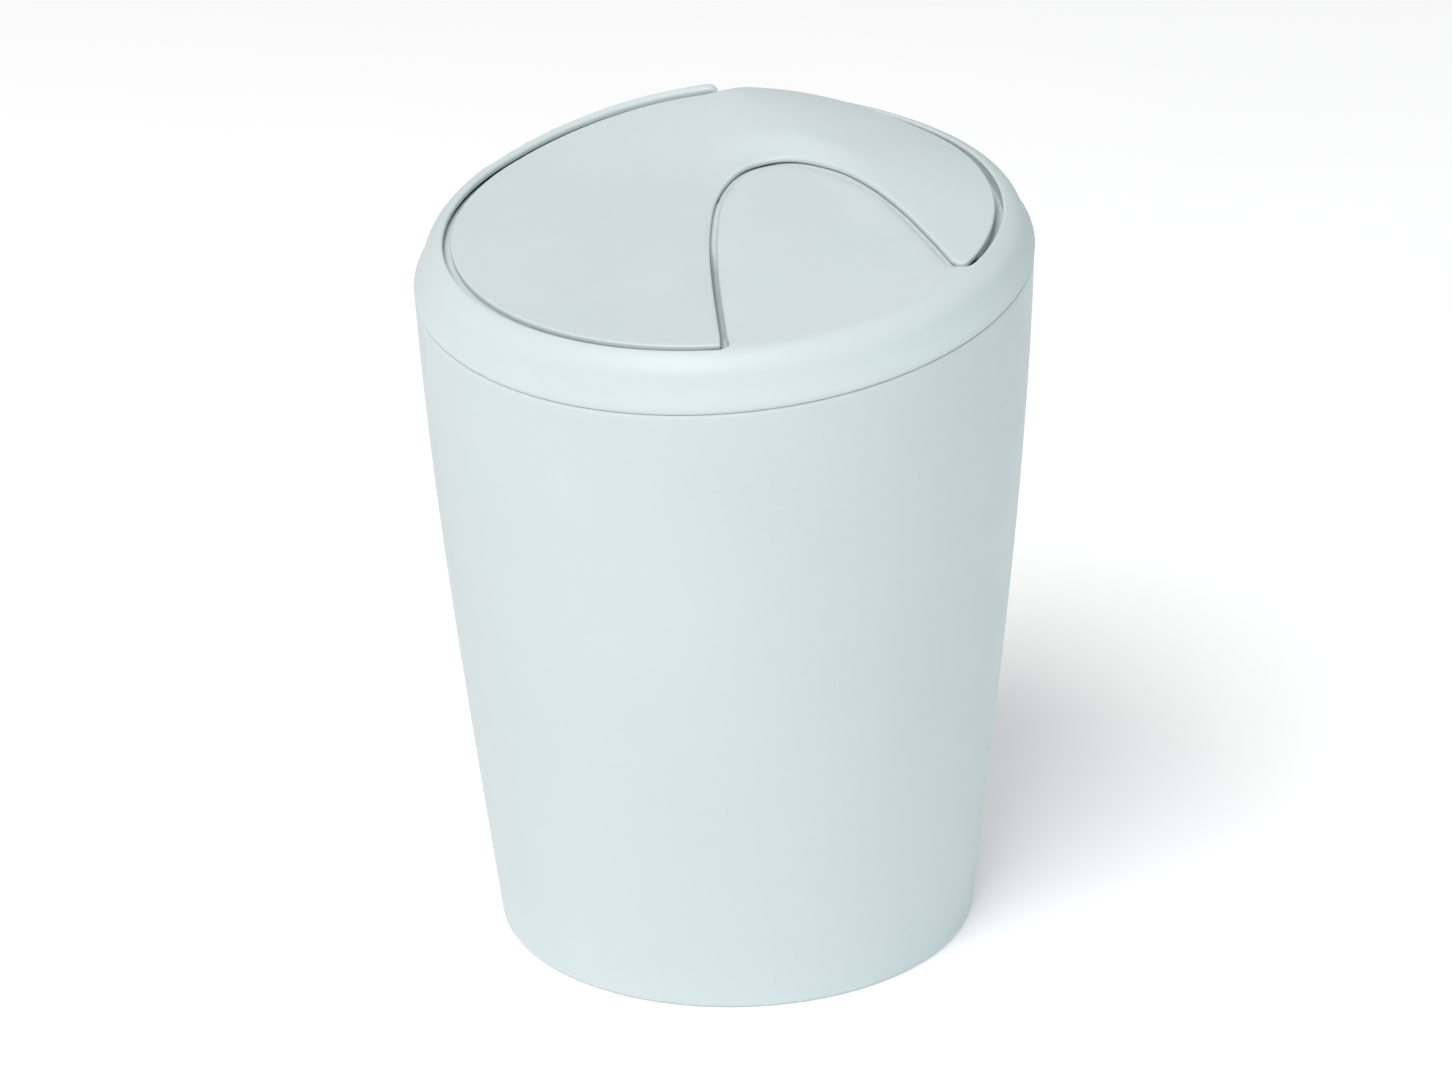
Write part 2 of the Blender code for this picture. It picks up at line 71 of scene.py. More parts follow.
# slanted planes: height on the axis, rise to the right and to the back
SEAM_HEIGHT = 227.3
SEAM_SLOPE = (0.056, 0.152)
LID_HEIGHT = 241.4
LID_SLOPE = (0.048, 0.129)
SEAM_GAP = 0.12

# centre line of the gap round the flap: the wave from the front corner to the flap's tip, then the rim
WAVE = [(0.0, -87.8), (-2.2, -51.5), (-3.1, -26.0), (-2.7, -4.5), (-0.6, 14.5), (4.9, 28.0),
        (14.2, 34.3), (24.8, 32.3), (36.5, 22.5), (47.3, 6.8), (56.7, -9.1), (64.3, -26.3),
        (68.4, -37.4), (70.2, -41.7), (72.6, -44.1), (75.4, -43.9), (77.3, -41.5)]
TIP_ANGLE = -27.2
RIM_PAST_TIP = 0.3
CORNER_ROUNDING = 2.2
SEAM_RADIUS = 87.8
RIM_HALF_GAP = 1.25
WAVE_HALF_GAP = 0.95

# lid ring
RING_RADIUS = 100.0
RING_DEPTH = 13.2
SHOULDER_START = 88.0
SHOULDER_JOIN = 94.0
SHOULDER_DROP = 2.0
SHOULDER_POWER = 2.11
SKIN = 1.7
SHOULDER_THICKER = 0.7
RING_EDGE = 1.1
RING_EDGE_LESS_AT_RIM = 0.4
RING_UNDER_EDGE = 0.5
TONGUE_EDGE_DROP = 0.55
TONGUE_EDGE_REACH = 7.0
# the underside follows the top as it is this much further in from the gap, clear of its rounded edge
UNDERSIDE_INSET = 3.0
FAR_FROM_EDGE = 9.0
RIM_RISE_LEFT = 5.2
RIM_RISE_RIGHT = 2.8
LEFT_FULLNESS = 1.7
NOTCH_ANGLE = 90.0
NOTCH_WIDTH = 2.6
NOTCH_CENTRE = (-1.5, 91.4)
GUSSET_OUTLINE = [(92.4, -3.0), (95.6, -6.0), (95.6, -20.0), (95.0, -20.6), (94.0, -14.0), (91.6, -4.6)]
GUSSET_HALF_WIDTH = 0.7
GUSSET_ANGLES = range(15, 375, 30)

# ring profile below the shoulder, outside then inside, as (radius, height)
RING_OUTSIDE = [(94.0, -2.0), (95.0, -2.8), (95.8, -3.6), (96.4, -4.45), (96.8, -5.3), (97.2, -6.3),
                (98.0, -8.0), (98.9, -9.6), (99.7, -10.9), (100.1, -11.7), (100.18, -12.3),
                (100.05, -12.8), (99.75, -13.1)]
RING_INSIDE = [(98.6, -13.15), (97.6, -13.25), (97.15, -13.7), (96.95, -15.0), (96.9, -16.2),
               (97.15, -16.8), (97.25, -17.4), (97.1, -18.0), (96.8, -18.6), (96.6, -22.0),
               (96.45, -25.6), (96.3, -26.5), (95.95, -27.0), (95.6, -27.0), (95.25, -26.6),
               (95.15, -25.8), (95.35, -19.0), (95.5, -13.0), (95.4, -10.0), (95.0, -7.4)]

# skin of the flap
PLATEAU_HEIGHT = 2.0
CREST_HEIGHT = 4.6
DOME_START = 43.0
CROWN_LIMIT = 88.5
TABLE_POWER = 5
FLAP_EDGE = 0.85
FLAP_EDGE_LESS_AT_RIM = 0.2
FLAP_UNDER_EDGE = 0.4
FLAP_RISE_LEFT = 4.6
FLAP_RISE_RIGHT = 6.2
REAR_ANGLE = 90.0
RISE_ANGLE = 50.0

# where one height or width eases into the next, as (start, span) of x, y, radius or angle
BAND_BY_X = (-10.0, 40.0)
BAND_BY_SINE = (-0.5, 1.1)
PLATEAU_BY_X = (-5.0, 14.0)
CREST_BY_RADIUS = (36.0, 16.0)
SWELL_BY_Y = (-85.0, 85.0)
RISE_BY_X = (-6.0, 16.0)
RISE_BY_RADIUS = (25.0, 63.0)
RIM_RISE_BY_RADIUS = (80.0, 8.0)
FULLNESS_BY_ANGLE = (120.0, 95.0)
BULGE_IN_BY_RADIUS = (88.6, 3.2)
BULGE_OUT_BY_RADIUS = (92.0, 8.0)
WIDEN_BY_RADIUS = (88.8, 8.0)
STRETCH_BY_RADIUS = (86.0, 6.0)
GAP_BY_RADIUS = (80.0, 6.0)
GAP_BY_ANGLE = (TIP_ANGLE, 22.0)
RING_BY_RADIUS = (87.6, 1.2)
RIM_BY_RADIUS = (82.0, 4.0)
THICKEN_BY_RADIUS = (89.0, 5.0)
TONGUE_SHELF_BY_X = (4.0, 12.0)
FLAP_SHELF_BY_Y = (-30.0, 16.0)

# ledge of the ring, flange and band edge of the flap: cross-sections as (radius, height), and the
# spans that they follow as (first angle, last angle, steps)
LEDGE_TOP = -4.6
LEDGE_BOTTOM = -5.8
LEDGE_SECTION = [(84.4, LEDGE_BOTTOM), (84.4, LEDGE_TOP - 0.25), (84.65, LEDGE_TOP), (89.2, LEDGE_TOP),
                 (89.2, -0.9), (90.8, -0.9), (90.8, LEDGE_BOTTOM)]
LEDGE_SPAN = (TIP_ANGLE - 2.0, 86.6, 90)
FLANGE_TOP = -3.0
FLANGE_BOTTOM = -4.3
FLANGE_SECTION = [(84.5, FLANGE_BOTTOM), (84.5, -1.0), (86.0, -1.0), (86.2, -2.7), (89.4, -2.7),
                  (89.8, FLANGE_TOP), (90.0, FLANGE_TOP - 0.2), (90.0, FLANGE_BOTTOM + 0.2),
                  (89.8, FLANGE_BOTTOM)]
FLANGE_SPAN = (93.4, 266.6, 190)
BAND_EDGE_FOOT = LEDGE_TOP + 0.6
BAND_EDGE_SECTION = [(84.7, BAND_EDGE_FOOT), (84.7, -0.9), (86.1, -0.9), (86.1, BAND_EDGE_FOOT)]
BAND_EDGE_SPAN = (TIP_ANGLE + 4.0, 94.0, 100)

# shelves that close the wave's gap from below; the flap's and the tongue's meet at the hand-over
SHELF_FRONT = (-0.2, -85.0)
SHELF_HANDOVER = (-0.6, 14.5)
SHELF_TIP = (77.2, -41.6)
SHELF_TOP = -2.0
SHELF_THICKNESS = 1.2
SHELF_REACH = 3.0
SHELF_PAST_PIVOT = 1.0
SHELF_DEEPER = 2.4
TONGUE_SHELF_DEEPER = 0.3
SHELF_END_GAP = 0.15
SHELF_HOLD = 2.4
SHELF_INNER_SHARE = 0.45
SHELF_ROOT = -0.7
SHELF_CHAMFER = 0.2

# pivot line, front to back under the lid
PIVOT_DROP = 7.0
PIN_RADIUS = 2.0
PIN_INNER_END = 77.8
PIN_OUTER_END = 90.6
# axle with rounded ends and a shallow waist, as (radius, place along the pivot line)
PIN_PROFILE = [(0.15, PIN_OUTER_END), (PIN_RADIUS - 0.5, PIN_OUTER_END),
               (PIN_RADIUS - 0.12, PIN_OUTER_END - 0.18), (PIN_RADIUS, PIN_OUTER_END - 0.5),
               (PIN_RADIUS, PIN_INNER_END + 7.0), (PIN_RADIUS - 0.15, PIN_INNER_END + 6.7),
               (PIN_RADIUS - 0.15, PIN_INNER_END + 5.9), (PIN_RADIUS, PIN_INNER_END + 5.6),
               (PIN_RADIUS, PIN_INNER_END + 0.5), (PIN_RADIUS - 0.12, PIN_INNER_END + 0.18),
               (PIN_RADIUS - 0.5, PIN_INNER_END), (0.15, PIN_INNER_END)]
HUB_BORE = 2.15
HUB_RADIUS = 3.7
HUB_SPAN = (76.5, 85.5)
HUB_END_WALL = 1.3
HUB_LEAD_IN = 0.3
HUB_CHAMFER = 0.4
HUB_VENT = 0.3
# web over each hub, front (-1) and rear (1): left and right edge, top
HUB_WEBS = {-1: (-5.4, -2.8, 0.0), 1: (-2.6, 2.6, 3.4)}
HUB_WEB_BOTTOM = -6.5
HUB_WEB_SUNK = 1.0
LUG_BORE = 2.3
# the lug's bore wraps the pin by this angle to either side of the top, in radians
LUG_WRAP = 2.37
LUG_HALF_WIDTH = 4.5
LUG_BOTTOM = -11.0
LUG_TOP = 5.6
LUG_CHAMFER = 0.6
# stations along the lug: distance along the pivot line, and how far its top steps down there
LUG_STATIONS = [(88.4, 0.0), (91.0, -0.9), (93.8, -3.4)]
LUG_TOP_FROM = 3.0
LUG_BACK_REACH = (91.2, 94.5)
LUG_BACK_TOP = 0.4
SNAP_SLOT = 3.2
SLOT_LEAD_IN = 0.5

# counterweight under the band
WEIGHT_CENTRE = (67.0, 20.5)
WEIGHT_SIZE = (11.0, 38.0, 7.0)
WEIGHT_BOTTOM = -8.3
POCKET_WALL = 1.6
POCKET_CLEARANCE = 0.4
POCKET_BOTTOM = -10.0
POCKET_TOP = 1.0
POCKET_OUTER_LOWER = 1.4
POCKET_END_LOWER = 0.4
POCKET_BEVEL = 0.25
COVER_THICKNESS = 1.6
COVER_GAP = 0.3

# ribs under the left half of the flap, as straight lines in plan
RIB_LINES = [((-79.0, 0.0), (-8.0, 0.0)), ((-70.0, -36.0), (-8.0, -36.0)), ((-70.0, 36.0), (-4.0, 36.0)),
             ((-36.0, -72.0), (-36.0, 72.0))]
RIB_DEPTH = 3.6
RIB_END_DEPTH = 0.6
RIB_HALF_WIDTH = 0.75
RIB_FOOT_SHARE = 0.7
RIB_TAPER = 5.0
RIB_SUNK = 0.5

# studio; the camera's place and the lights' places are in metres
CAMERA_PLACE = (0.0, -1.3, 0.671)
CAMERA_YAW_PITCH_ROLL = (-0.054, 22.63, -1.33)
CAMERA_LENS = 106.5
CAMERA_SENSOR = 36.0
CAMERA_CLIP = (0.01, 20.0)
FLOOR_REACH = 6.0
FLOOR_GLOW = 0.2
ROOM_STRENGTH = 0.38
WHITE = (1.0, 1.0, 1.0, 1.0)

# mesh fineness
OUTLINE_STEP = 0.75
GRID_STEP = 2.1
RINGS = (0.03, 0.12, 0.27, 0.46, 0.7, 1.0, 1.5, 2.3)
CONTOUR_CLEAR_SHARE = 0.985
HEX_ROW = 0.866
GRID_CLEAR = 1.0
GRID_MARGIN = 1.2
TURN_STEPS = 480
SHARP_ANGLE = 38.0
CHUNK = 2000
NOTCH_STEP = 0.45
NOTCH_REACH = 6.0
NOTCH_HALF_WIDTH = 5.5
NOTCH_CLEAR = 0.3
NOTCH_MARGIN = 0.4
CIRCLE_MARGIN = 0.25
BLUNT_END_ANGLE = 3.4
BLUNT_END_STEPS = 34
BLUNT_END_CLEAR = 0.2
RING_PROFILE_STEP = 0.55
BOX_CORNER_NARROWING = 0.6
HUB_STEPS = 40
PIN_STEPS = 48
BORE_STEPS = 24
RIB_STEPS = 23


# ---------------------------------------------------------------- shape functions

def smooth(t):
    """Ease from 0 to 1 while t runs from 0 to 1."""
    t = np.clip(t, 0.0, 1.0)
    return t * t * (3.0 - 2.0 * t)


def rising(value, start, span):
    """Ease from 0 at the start to 1 once the value is a span past it."""
    return smooth((value - start) / span)


def ease(t):
    """Half a straight ramp, half an eased one."""
    return 0.5 * (np.clip(t, 0.0, 1.0) + smooth(t))


def body_radius(z):
    """Outer radius of the bucket at height z."""
    s = z / RIM_HEIGHT
    barrel = BARREL_LOW + (BARREL_HIGH - BARREL_LOW) * s
    return FOOT_RADIUS + (RIM_RADIUS - FOOT_RADIUS) * s + 4.0 * barrel * s * (1.0 - s)


def seam_z(x, y):
    """Height of the slanted plane where the lid ring meets the bucket."""
    return SEAM_HEIGHT + SEAM_SLOPE[0] * x + SEAM_SLOPE[1] * y


def lid_z(x, y):
    """Height of the slanted lid plane."""
    return LID_HEIGHT + LID_SLOPE[0] * x + LID_SLOPE[1] * y


def turn_angle(x, y):
    """Angle about the bin's axis in degrees, from -90 (front) round by the right and back to 270."""
    return (np.degrees(np.arctan2(y, x)) + 90.0) % 360.0 - 90.0


def back_rise(x, y):
    """1 at the rear pivot, falling to 0 at RISE_ANGLE to either side."""
    return ease(1.0 - np.abs(turn_angle(x, y) - REAR_ANGLE) / RISE_ANGLE)


def flap_rise(x, y):
    """How far the flap's rim climbs towards the rear pivot, more on the band's side."""
    amount = FLAP_RISE_LEFT + (FLAP_RISE_RIGHT - FLAP_RISE_LEFT) * rising(x, *RISE_BY_X)
    return amount * back_rise(x, y)


def crown(x, y):
    """Height of the lid's skin above the lid plane: flat left, low plateau, domed band."""
    radius = np.maximum(np.hypot(x, y), 1.0)
    band = rising(x, *BAND_BY_X) * rising(y / radius, *BAND_BY_SINE)
    table = 1.0 - np.minimum(1.0, radius / CROWN_LIMIT) ** TABLE_POWER
    dome = 1.0 - np.clip((radius - DOME_START) / (CROWN_LIMIT - DOME_START), 0.0, 1.0) ** 2
    plateau = PLATEAU_HEIGHT * rising(x, *PLATEAU_BY_X)
    crest = CREST_HEIGHT * rising(radius, *CREST_BY_RADIUS) * band
    swell = (plateau + crest) * (table + (dome - table) * band) * rising(y, *SWELL_BY_Y)
    return swell + flap_rise(x, y) * rising(radius, *RISE_BY_RADIUS)


def left_of_notch(x, y):
    """0 on the right of the rear pivot, 1 on the left, with a blunt rounded end between."""
    t = np.clip((turn_angle(x, y) - NOTCH_ANGLE) / NOTCH_WIDTH, 0.0, 1.0)
    return 1.0 - (1.0 - t) ** 3


def rim_lift(x, y):
    """Extra height of the ring's shoulder towards the back, and its bulge on the left."""
    radius = np.hypot(x, y)
    left = left_of_notch(x, y)
    amount = RIM_RISE_RIGHT + (RIM_RISE_LEFT - RIM_RISE_RIGHT) * left
    lift = amount * rising(radius, *RIM_RISE_BY_RADIUS) * back_rise(x, y)
    fullness = (1.0 - rising(turn_angle(x, y), *FULLNESS_BY_ANGLE)) * left
    bulge = rising(radius, *BULGE_IN_BY_RADIUS) * (1.0 - rising(radius, *BULGE_OUT_BY_RADIUS))
    return lift + LEFT_FULLNESS * fullness * bulge


def seat_ring(x, y, h):
    """Move points of the flat ring onto the bucket's slanted rim."""
    radius = np.hypot(x, y)
    fit = body_radius(seam_z(x, y)) / RING_RADIUS
    widen = 1.0 + (fit - 1.0) * rising(radius, *WIDEN_BY_RADIUS)
    x, y = x * widen, y * widen
    stretch = (lid_z(x, y) - seam_z(x, y)) / RING_DEPTH
    stretch = 1.0 + (stretch - 1.0) * rising(radius, *STRETCH_BY_RADIUS)
    lift = rim_lift(x, y) * np.clip(1.0 + h / RING_DEPTH, 0.0, 1.0)
    return np.stack([x, y, lid_z(x, y) + h * stretch + lift], axis=-1)


def seat_flat(x, y, h):
    """Move points of the flat flap or tongue onto the lid plane."""
    return np.stack([x, y, lid_z(x, y) + h], axis=-1)


def fillet(distance, radius):
    """Drop of a rounded edge at a distance in from the edge."""
    t = np.clip(1.0 - distance / radius, 0.0, 1.0)
    return radius * (1.0 - np.sqrt(1.0 - t * t))


# ---------------------------------------------------------------- curves in the flat lid

def smooth_path(points, steps=10):
    """Catmull-Rom curve through the points."""
    p = np.array([points[0]] + list(points) + [points[-1]], float)
    t = np.arange(steps)[:, None] / steps
    runs = []
    for p0, p1, p2, p3 in zip(p[:-3], p[1:-2], p[2:-1], p[3:]):
        run = 2 * p1 + (p2 - p0) * t + (2 * p0 - 5 * p1 + 4 * p2 - p3) * t ** 2
        runs.append((run + (3 * p1 - p0 - 3 * p2 + p3) * t ** 3) / 2)
    return np.vstack(runs + [p[-1:]])


def circle_arc(radius, start, end):
    """Points about a degree apart on an arc about the bin's axis; angles in degrees."""
    a = np.radians(np.linspace(start, end, int(end - start)))
    return np.stack([radius * np.cos(a), radius * np.sin(a)], axis=-1)


def resample(path, step, closed):
    """Points evenly spaced along a path."""
    if closed:
        path = np.vstack([path, path[:1]])
    lengths = np.concatenate([[0.0], np.cumsum(np.hypot(*np.diff(path, axis=0).T))])
    count = max(3, int(round(lengths[-1] / step)))
    at = np.linspace(0.0, lengths[-1], count + 1)
    if closed:
        at = at[:-1]
    return np.stack([np.interp(at, lengths, path[:, k]) for k in (0, 1)], axis=-1)


def right_normals(loop):
    """Unit normals to the right of a closed loop's direction."""
    along = np.roll(loop, -1, axis=0) - np.roll(loop, 1, axis=0)
    along /= np.hypot(*along.T)[:, None]
    return np.stack([along[:, 1], -along[:, 0]], axis=-1)


def seam_loop():
    """Closed centre line of the gap round the flap, counter-clockwise from the front corner."""
    whole_wave = smooth_path(WAVE)
    apex = whole_wave[:1]
    wave = whole_wave[whole_wave[:, 1] > -SEAM_RADIUS + CORNER_ROUNDING]
    rounding = math.degrees(CORNER_ROUNDING / SEAM_RADIUS)
    rim = circle_arc(SEAM_RADIUS, TIP_ANGLE + RIM_PAST_TIP, 270.0 - rounding)
    bend = apex + (wave[:1] - apex) * (CORNER_ROUNDING / np.hypot(*(wave[0] - apex[0])))
    t = np.linspace(0.0, 1.0, 9)[1:-1, None]
    corner = (1 - t) ** 2 * rim[-1:] + 2 * t * (1 - t) * apex + t ** 2 * bend
    return resample(np.vstack([wave, rim, corner]), OUTLINE_STEP, closed=True)


def half_gap(loop):
    """Half the gap's width: wider along the rim than along the wave, and narrow at the tip."""
    at_rim = rising(np.hypot(*loop.T), *GAP_BY_RADIUS) * rising(turn_angle(*loop.T), *GAP_BY_ANGLE)
    return (WAVE_HALF_GAP + (RIM_HALF_GAP - WAVE_HALF_GAP) * at_rim)[:, None]


def inside(points, loop):
    """Which points lie within a closed loop, by counting crossings."""
    ax, ay = loop.T
    bx, by = np.roll(loop, -1, axis=0).T
    result = np.zeros(len(points), bool)
    for start in range(0, len(points), CHUNK):
        px, py = [c[:, None] for c in points[start:start + CHUNK].T]
        spans = (ay > py) != (by > py)
        rise = np.where(np.abs(by - ay) < 1e-12, 1e-12, by - ay)
        crossing = px < (bx - ax) * (py - ay) / rise + ax
        result[start:start + CHUNK] = (np.sum(spans & crossing, axis=1) % 2) == 1
    return result


def distance_to(points, loop):
    """Distance of each point from a closed loop."""
    d = np.roll(loop, -1, axis=0) - loop
    square = np.maximum((d ** 2).sum(axis=1), 1e-12)
    result = np.empty(len(points))
    for start in range(0, len(points), CHUNK):
        p = points[start:start + CHUNK, None, :]
        t = np.clip(((p - loop) * d).sum(axis=2) / square, 0.0, 1.0)
        away = p - loop - d * t[..., None]
        result[start:start + CHUNK] = np.sqrt((away ** 2).sum(axis=2).min(axis=1))
    return result


def contour_points(loop, side):
    """Points on lines parallel to a loop, on one side of it (1 right, -1 left)."""
    normals = right_normals(loop) * side
    runs = []
    for distance in RINGS:
        run = loop + normals * distance
        runs.append(run[distance_to(run, loop) > CONTOUR_CLEAR_SHARE * distance])
    return np.vstack(runs)


def hex_grid(reach, step):
    """Points of a triangular grid over a square about the middle."""
    rows = np.arange(-reach, reach, step * HEX_ROW)
    columns = np.arange(-reach, reach, step)
    x, y = np.meshgrid(columns, rows)
    x = x + (np.arange(len(rows)) % 2)[:, None] * step / 2
    return np.stack([x.ravel(), y.ravel()], axis=-1)


def fill(loops, points):
    """Delaunay triangles over points, with closed loops as their boundary edges."""
    count, edges = 0, []
    for loop in loops:
        edges += [(count + i, count + (i + 1) % len(loop)) for i in range(len(loop))]
        count += len(loop)
    plan = [Vector(p) for p in np.vstack(loops + [points])]
    verts, _, faces, _, _, _ = delaunay_2d_cdt(plan, edges, [], 0, 1e-6)
    return np.array([tuple(v) for v in verts]), np.array(faces)


# ---------------------------------------------------------------- mesh tools

class Shell:
    """Vertices and faces of one piece, gathered from several surfaces."""

    def __init__(self):
        self.verts, self.faces, self.count = [], [], 0

    def add(self, verts, faces):
        """Add vertices and faces that count from the first of them; returns that one's number."""
        start = self.count
        self.verts.append(np.asarray(verts, float).reshape(-1, 3))
        self.faces += [tuple(int(i) + start for i in face) for face in faces]
        self.count += len(self.verts[-1])
        return start

    def grid(self, rows, closed_rows=False):
        """Quads over rows of points; the outside is to the left when looking along a row."""
        rows = np.asarray(rows)
        m, n = rows.shape[:2]
        start = self.add(rows.reshape(-1, 3), [])
        self.strip_faces(np.arange(m * n).reshape(m, n) + start, closed_rows=closed_rows)
        return start

    def capped(self, rows):
        """A closed solid: quads over rows of points and one face over each end."""
        start = self.grid(rows)
        m, n = np.asarray(rows).shape[:2]
        self.face(np.arange(n) + start)
        self.face(np.arange(n)[::-1] + start + (m - 1) * n)

    def strip_faces(self, index, closed_columns=True, closed_rows=False):
        """Quads between rows of vertex numbers."""
        m, n = index.shape
        for i in range(m if closed_rows else m - 1):
            a, b = index[i], index[(i + 1) % m]
            for j in range(n if closed_columns else n - 1):
                k = (j + 1) % n
                self.faces.append((int(a[j]), int(b[j]), int(b[k]), int(a[k])))

    def face(self, indices):
        """One face over vertex numbers."""
        self.faces.append(tuple(int(i) for i in indices))


def boundary_edges(faces):
    """Edges that only one triangle uses, in that triangle's direction."""
    edges = {}
    for a, b, c in faces:
        for edge in ((a, b), (b, c), (c, a)):
            edges[edge] = True
    return [(a, b) for a, b in edges if (b, a) not in edges]


def counter_clockwise(plan, faces):
    """The triangles with every one of them turning counter-clockwise in plan."""
    a, b, c = [plan[faces[:, k]] for k in range(3)]
    turn = (b - a)[:, 0] * (c - a)[:, 1] - (b - a)[:, 1] * (c - a)[:, 0]
    faces = faces.copy()
    faces[turn < 0] = faces[turn < 0][:, ::-1]
    return faces


def make_piece(name, shell, material, body, node):
    """A finished piece from a shell in millimetres: it stands for a CAD node and rides on its body."""
    mesh = bpy.data.meshes.new(name)
    verts = np.vstack(shell.verts) * METRE
    mesh.from_pydata(verts.tolist(), [], shell.faces)
    mesh.update()
    solid = bmesh.new()
    solid.from_mesh(mesh)
    bmesh.ops.recalc_face_normals(solid, faces=solid.faces)
    solid.to_mesh(mesh)
    solid.free()
    mesh.materials.append(material)
    mesh.shade_smooth()
    mesh.set_sharp_from_angle(angle=math.radians(SHARP_ANGLE))
    piece = bpy.data.objects.new(name, mesh)
    bpy.context.scene.collection.objects.link(piece)
    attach(piece, body)
    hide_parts(node)
    return piece


def sector(shell, section, span, lift):
    """Closed bar that follows the rim: a (radius, height) section carried over a span of angles."""
    first, last, steps = span
    angles = np.radians(np.linspace(first, last, steps + 1))
    columns = []
    for r, h in section:
        x, y = r * np.cos(angles), r * np.sin(angles)
        columns.append(seat_flat(x, y, h + lift(x, y, h)))
    bar(shell, np.array(columns))


def bar(shell, columns):
    """Closed bar from the lines its corners follow, with flat ends."""
    m, n = columns.shape[:2]
    start = shell.add(columns.reshape(-1, 3), [])
    index = np.arange(m * n).reshape(m, n) + start
    shell.strip_faces(index, closed_columns=False, closed_rows=True)
    shell.face(index[:, 0])
    shell.face(index[::-1, -1])


# ---------------------------------------------------------------- materials

def node_material(name):
    """A new node material: itself, its nodes, its links and its shader."""
    material = bpy.data.materials.new(name)
    material.use_nodes = True
    nodes, links = material.node_tree.nodes, material.node_tree.links
    return material, nodes, links, nodes["Principled BSDF"]


def noise(nodes, links, coordinates, scale, detail, stretch=None):
    """A noise texture in the piece's own space; scale is in cycles per metre."""
    texture = nodes.new("ShaderNodeTexNoise")
    texture.inputs["Scale"].default_value = scale
    texture.inputs["Detail"].default_value = detail
    source = coordinates
    if stretch is not None:
        mapping = nodes.new("ShaderNodeMapping")
        mapping.inputs["Scale"].default_value = stretch
        links.new(coordinates, mapping.inputs["Vector"])
        source = mapping.outputs["Vector"]
    links.new(source, texture.inputs["Vector"])
    return texture.outputs["Fac"]


def ramp(nodes, links, factor, low, high, start=0.3, end=0.7):
    """Map a noise value to a number between low and high."""
    mapper = nodes.new("ShaderNodeMapRange")
    mapper.inputs["From Min"].default_value = start
    mapper.inputs["From Max"].default_value = end
    mapper.inputs["To Min"].default_value = low
    mapper.inputs["To Max"].default_value = high
    links.new(factor, mapper.inputs["Value"])
    return mapper.outputs["Result"]


def blend_colours(nodes, links, factor, first, second):
    """Mix two colours, or a colour over a socket, by a factor."""
    mix = nodes.new("ShaderNodeMix")
    mix.data_type = "RGBA"
    links.new(factor, mix.inputs["Factor"])
    for value, socket in ((first, mix.inputs[6]), (second, mix.inputs[7])):
        if isinstance(value, tuple):
            socket.default_value = (*value, 1.0)
        else:
            links.new(value, socket)
    return mix.outputs[2]


def bumped(nodes, links, shader, layers):
    """Chain bump nodes: (height socket, strength, depth in metres)."""
    previous = None
    for height, strength, depth in layers:
        bump = nodes.new("ShaderNodeBump")
        bump.inputs["Strength"].default_value = strength
        bump.inputs["Distance"].default_value = depth
        links.new(height, bump.inputs["Height"])
        if previous is not None:
            links.new(previous, bump.inputs["Normal"])
        previous = bump.outputs["Normal"]
    links.new(previous, shader.inputs["Normal"])


def plastic_material(name, base, deep, roughness, grain):
    """Moulded plastic: cloudy tint, fine spark-eroded grain, faint flow waves and uneven sheen."""
    material, nodes, links, shader = node_material(name)
    coordinates = nodes.new("ShaderNodeTexCoord").outputs["Object"]
    cloud = noise(nodes, links, coordinates, 14.0, 4.0)
    speck = noise(nodes, links, coordinates, 900.0, 2.0)
    tint = blend_colours(nodes, links, ramp(nodes, links, cloud, 0.0, 1.0), deep, base)
    pale = tuple(min(1.0, c * 1.035) for c in base)
    tint = blend_colours(nodes, links, ramp(nodes, links, speck, 0.0, 0.35, 0.45, 0.8), tint, pale)
    links.new(tint, shader.inputs["Base Color"])
    uneven = noise(nodes, links, coordinates, 45.0, 5.0)
    links.new(ramp(nodes, links, uneven, roughness - 0.05, roughness + 0.06), shader.inputs["Roughness"])
    shader.inputs["IOR"].default_value = 1.49
    shader.inputs["Specular IOR Level"].default_value = 0.42
    shader.inputs["Subsurface Weight"].default_value = 0.25
    shader.inputs["Subsurface Radius"].default_value = (1.0, 1.0, 1.0)
    shader.inputs["Subsurface Scale"].default_value = 0.003
    waves = noise(nodes, links, coordinates, 22.0, 1.0)
    fine = noise(nodes, links, coordinates, 2400.0, 2.0)
    bumped(nodes, links, shader, [(waves, 0.12, 0.0006), (fine, grain, 0.00005)])
    return material


def steel_material():
    """Zinc-plated bar: brushed along its length, with cloudy passivation."""
    material, nodes, links, shader = node_material("zinc_plated_steel")
    coordinates = nodes.new("ShaderNodeTexCoord").outputs["Object"]
    brushed = noise(nodes, links, coordinates, 260.0, 3.0, stretch=(7.0, 0.6, 7.0))
    cloud = noise(nodes, links, coordinates, 70.0, 5.0)
    tint = blend_colours(nodes, links, ramp(nodes, links, cloud, 0.0, 1.0), (0.50, 0.51, 0.53),
                         (0.63, 0.64, 0.62))
    links.new(tint, shader.inputs["Base Color"])
    links.new(ramp(nodes, links, brushed, 0.26, 0.46), shader.inputs["Roughness"])
    shader.inputs["Metallic"].default_value = 1.0
    bumped(nodes, links, shader, [(brushed, 0.25, 0.0001)])
    return material


# ---------------------------------------------------------------- bucket

def bucket_rim(angles):
    """Height of the bucket's slanted rim at each angle."""
    z = np.full(len(angles), SEAM_HEIGHT)
    for _ in range(4):
        r = body_radius(z)
        z = seam_z(r * np.cos(angles), r * np.sin(angles)) - SEAM_GAP
    return z


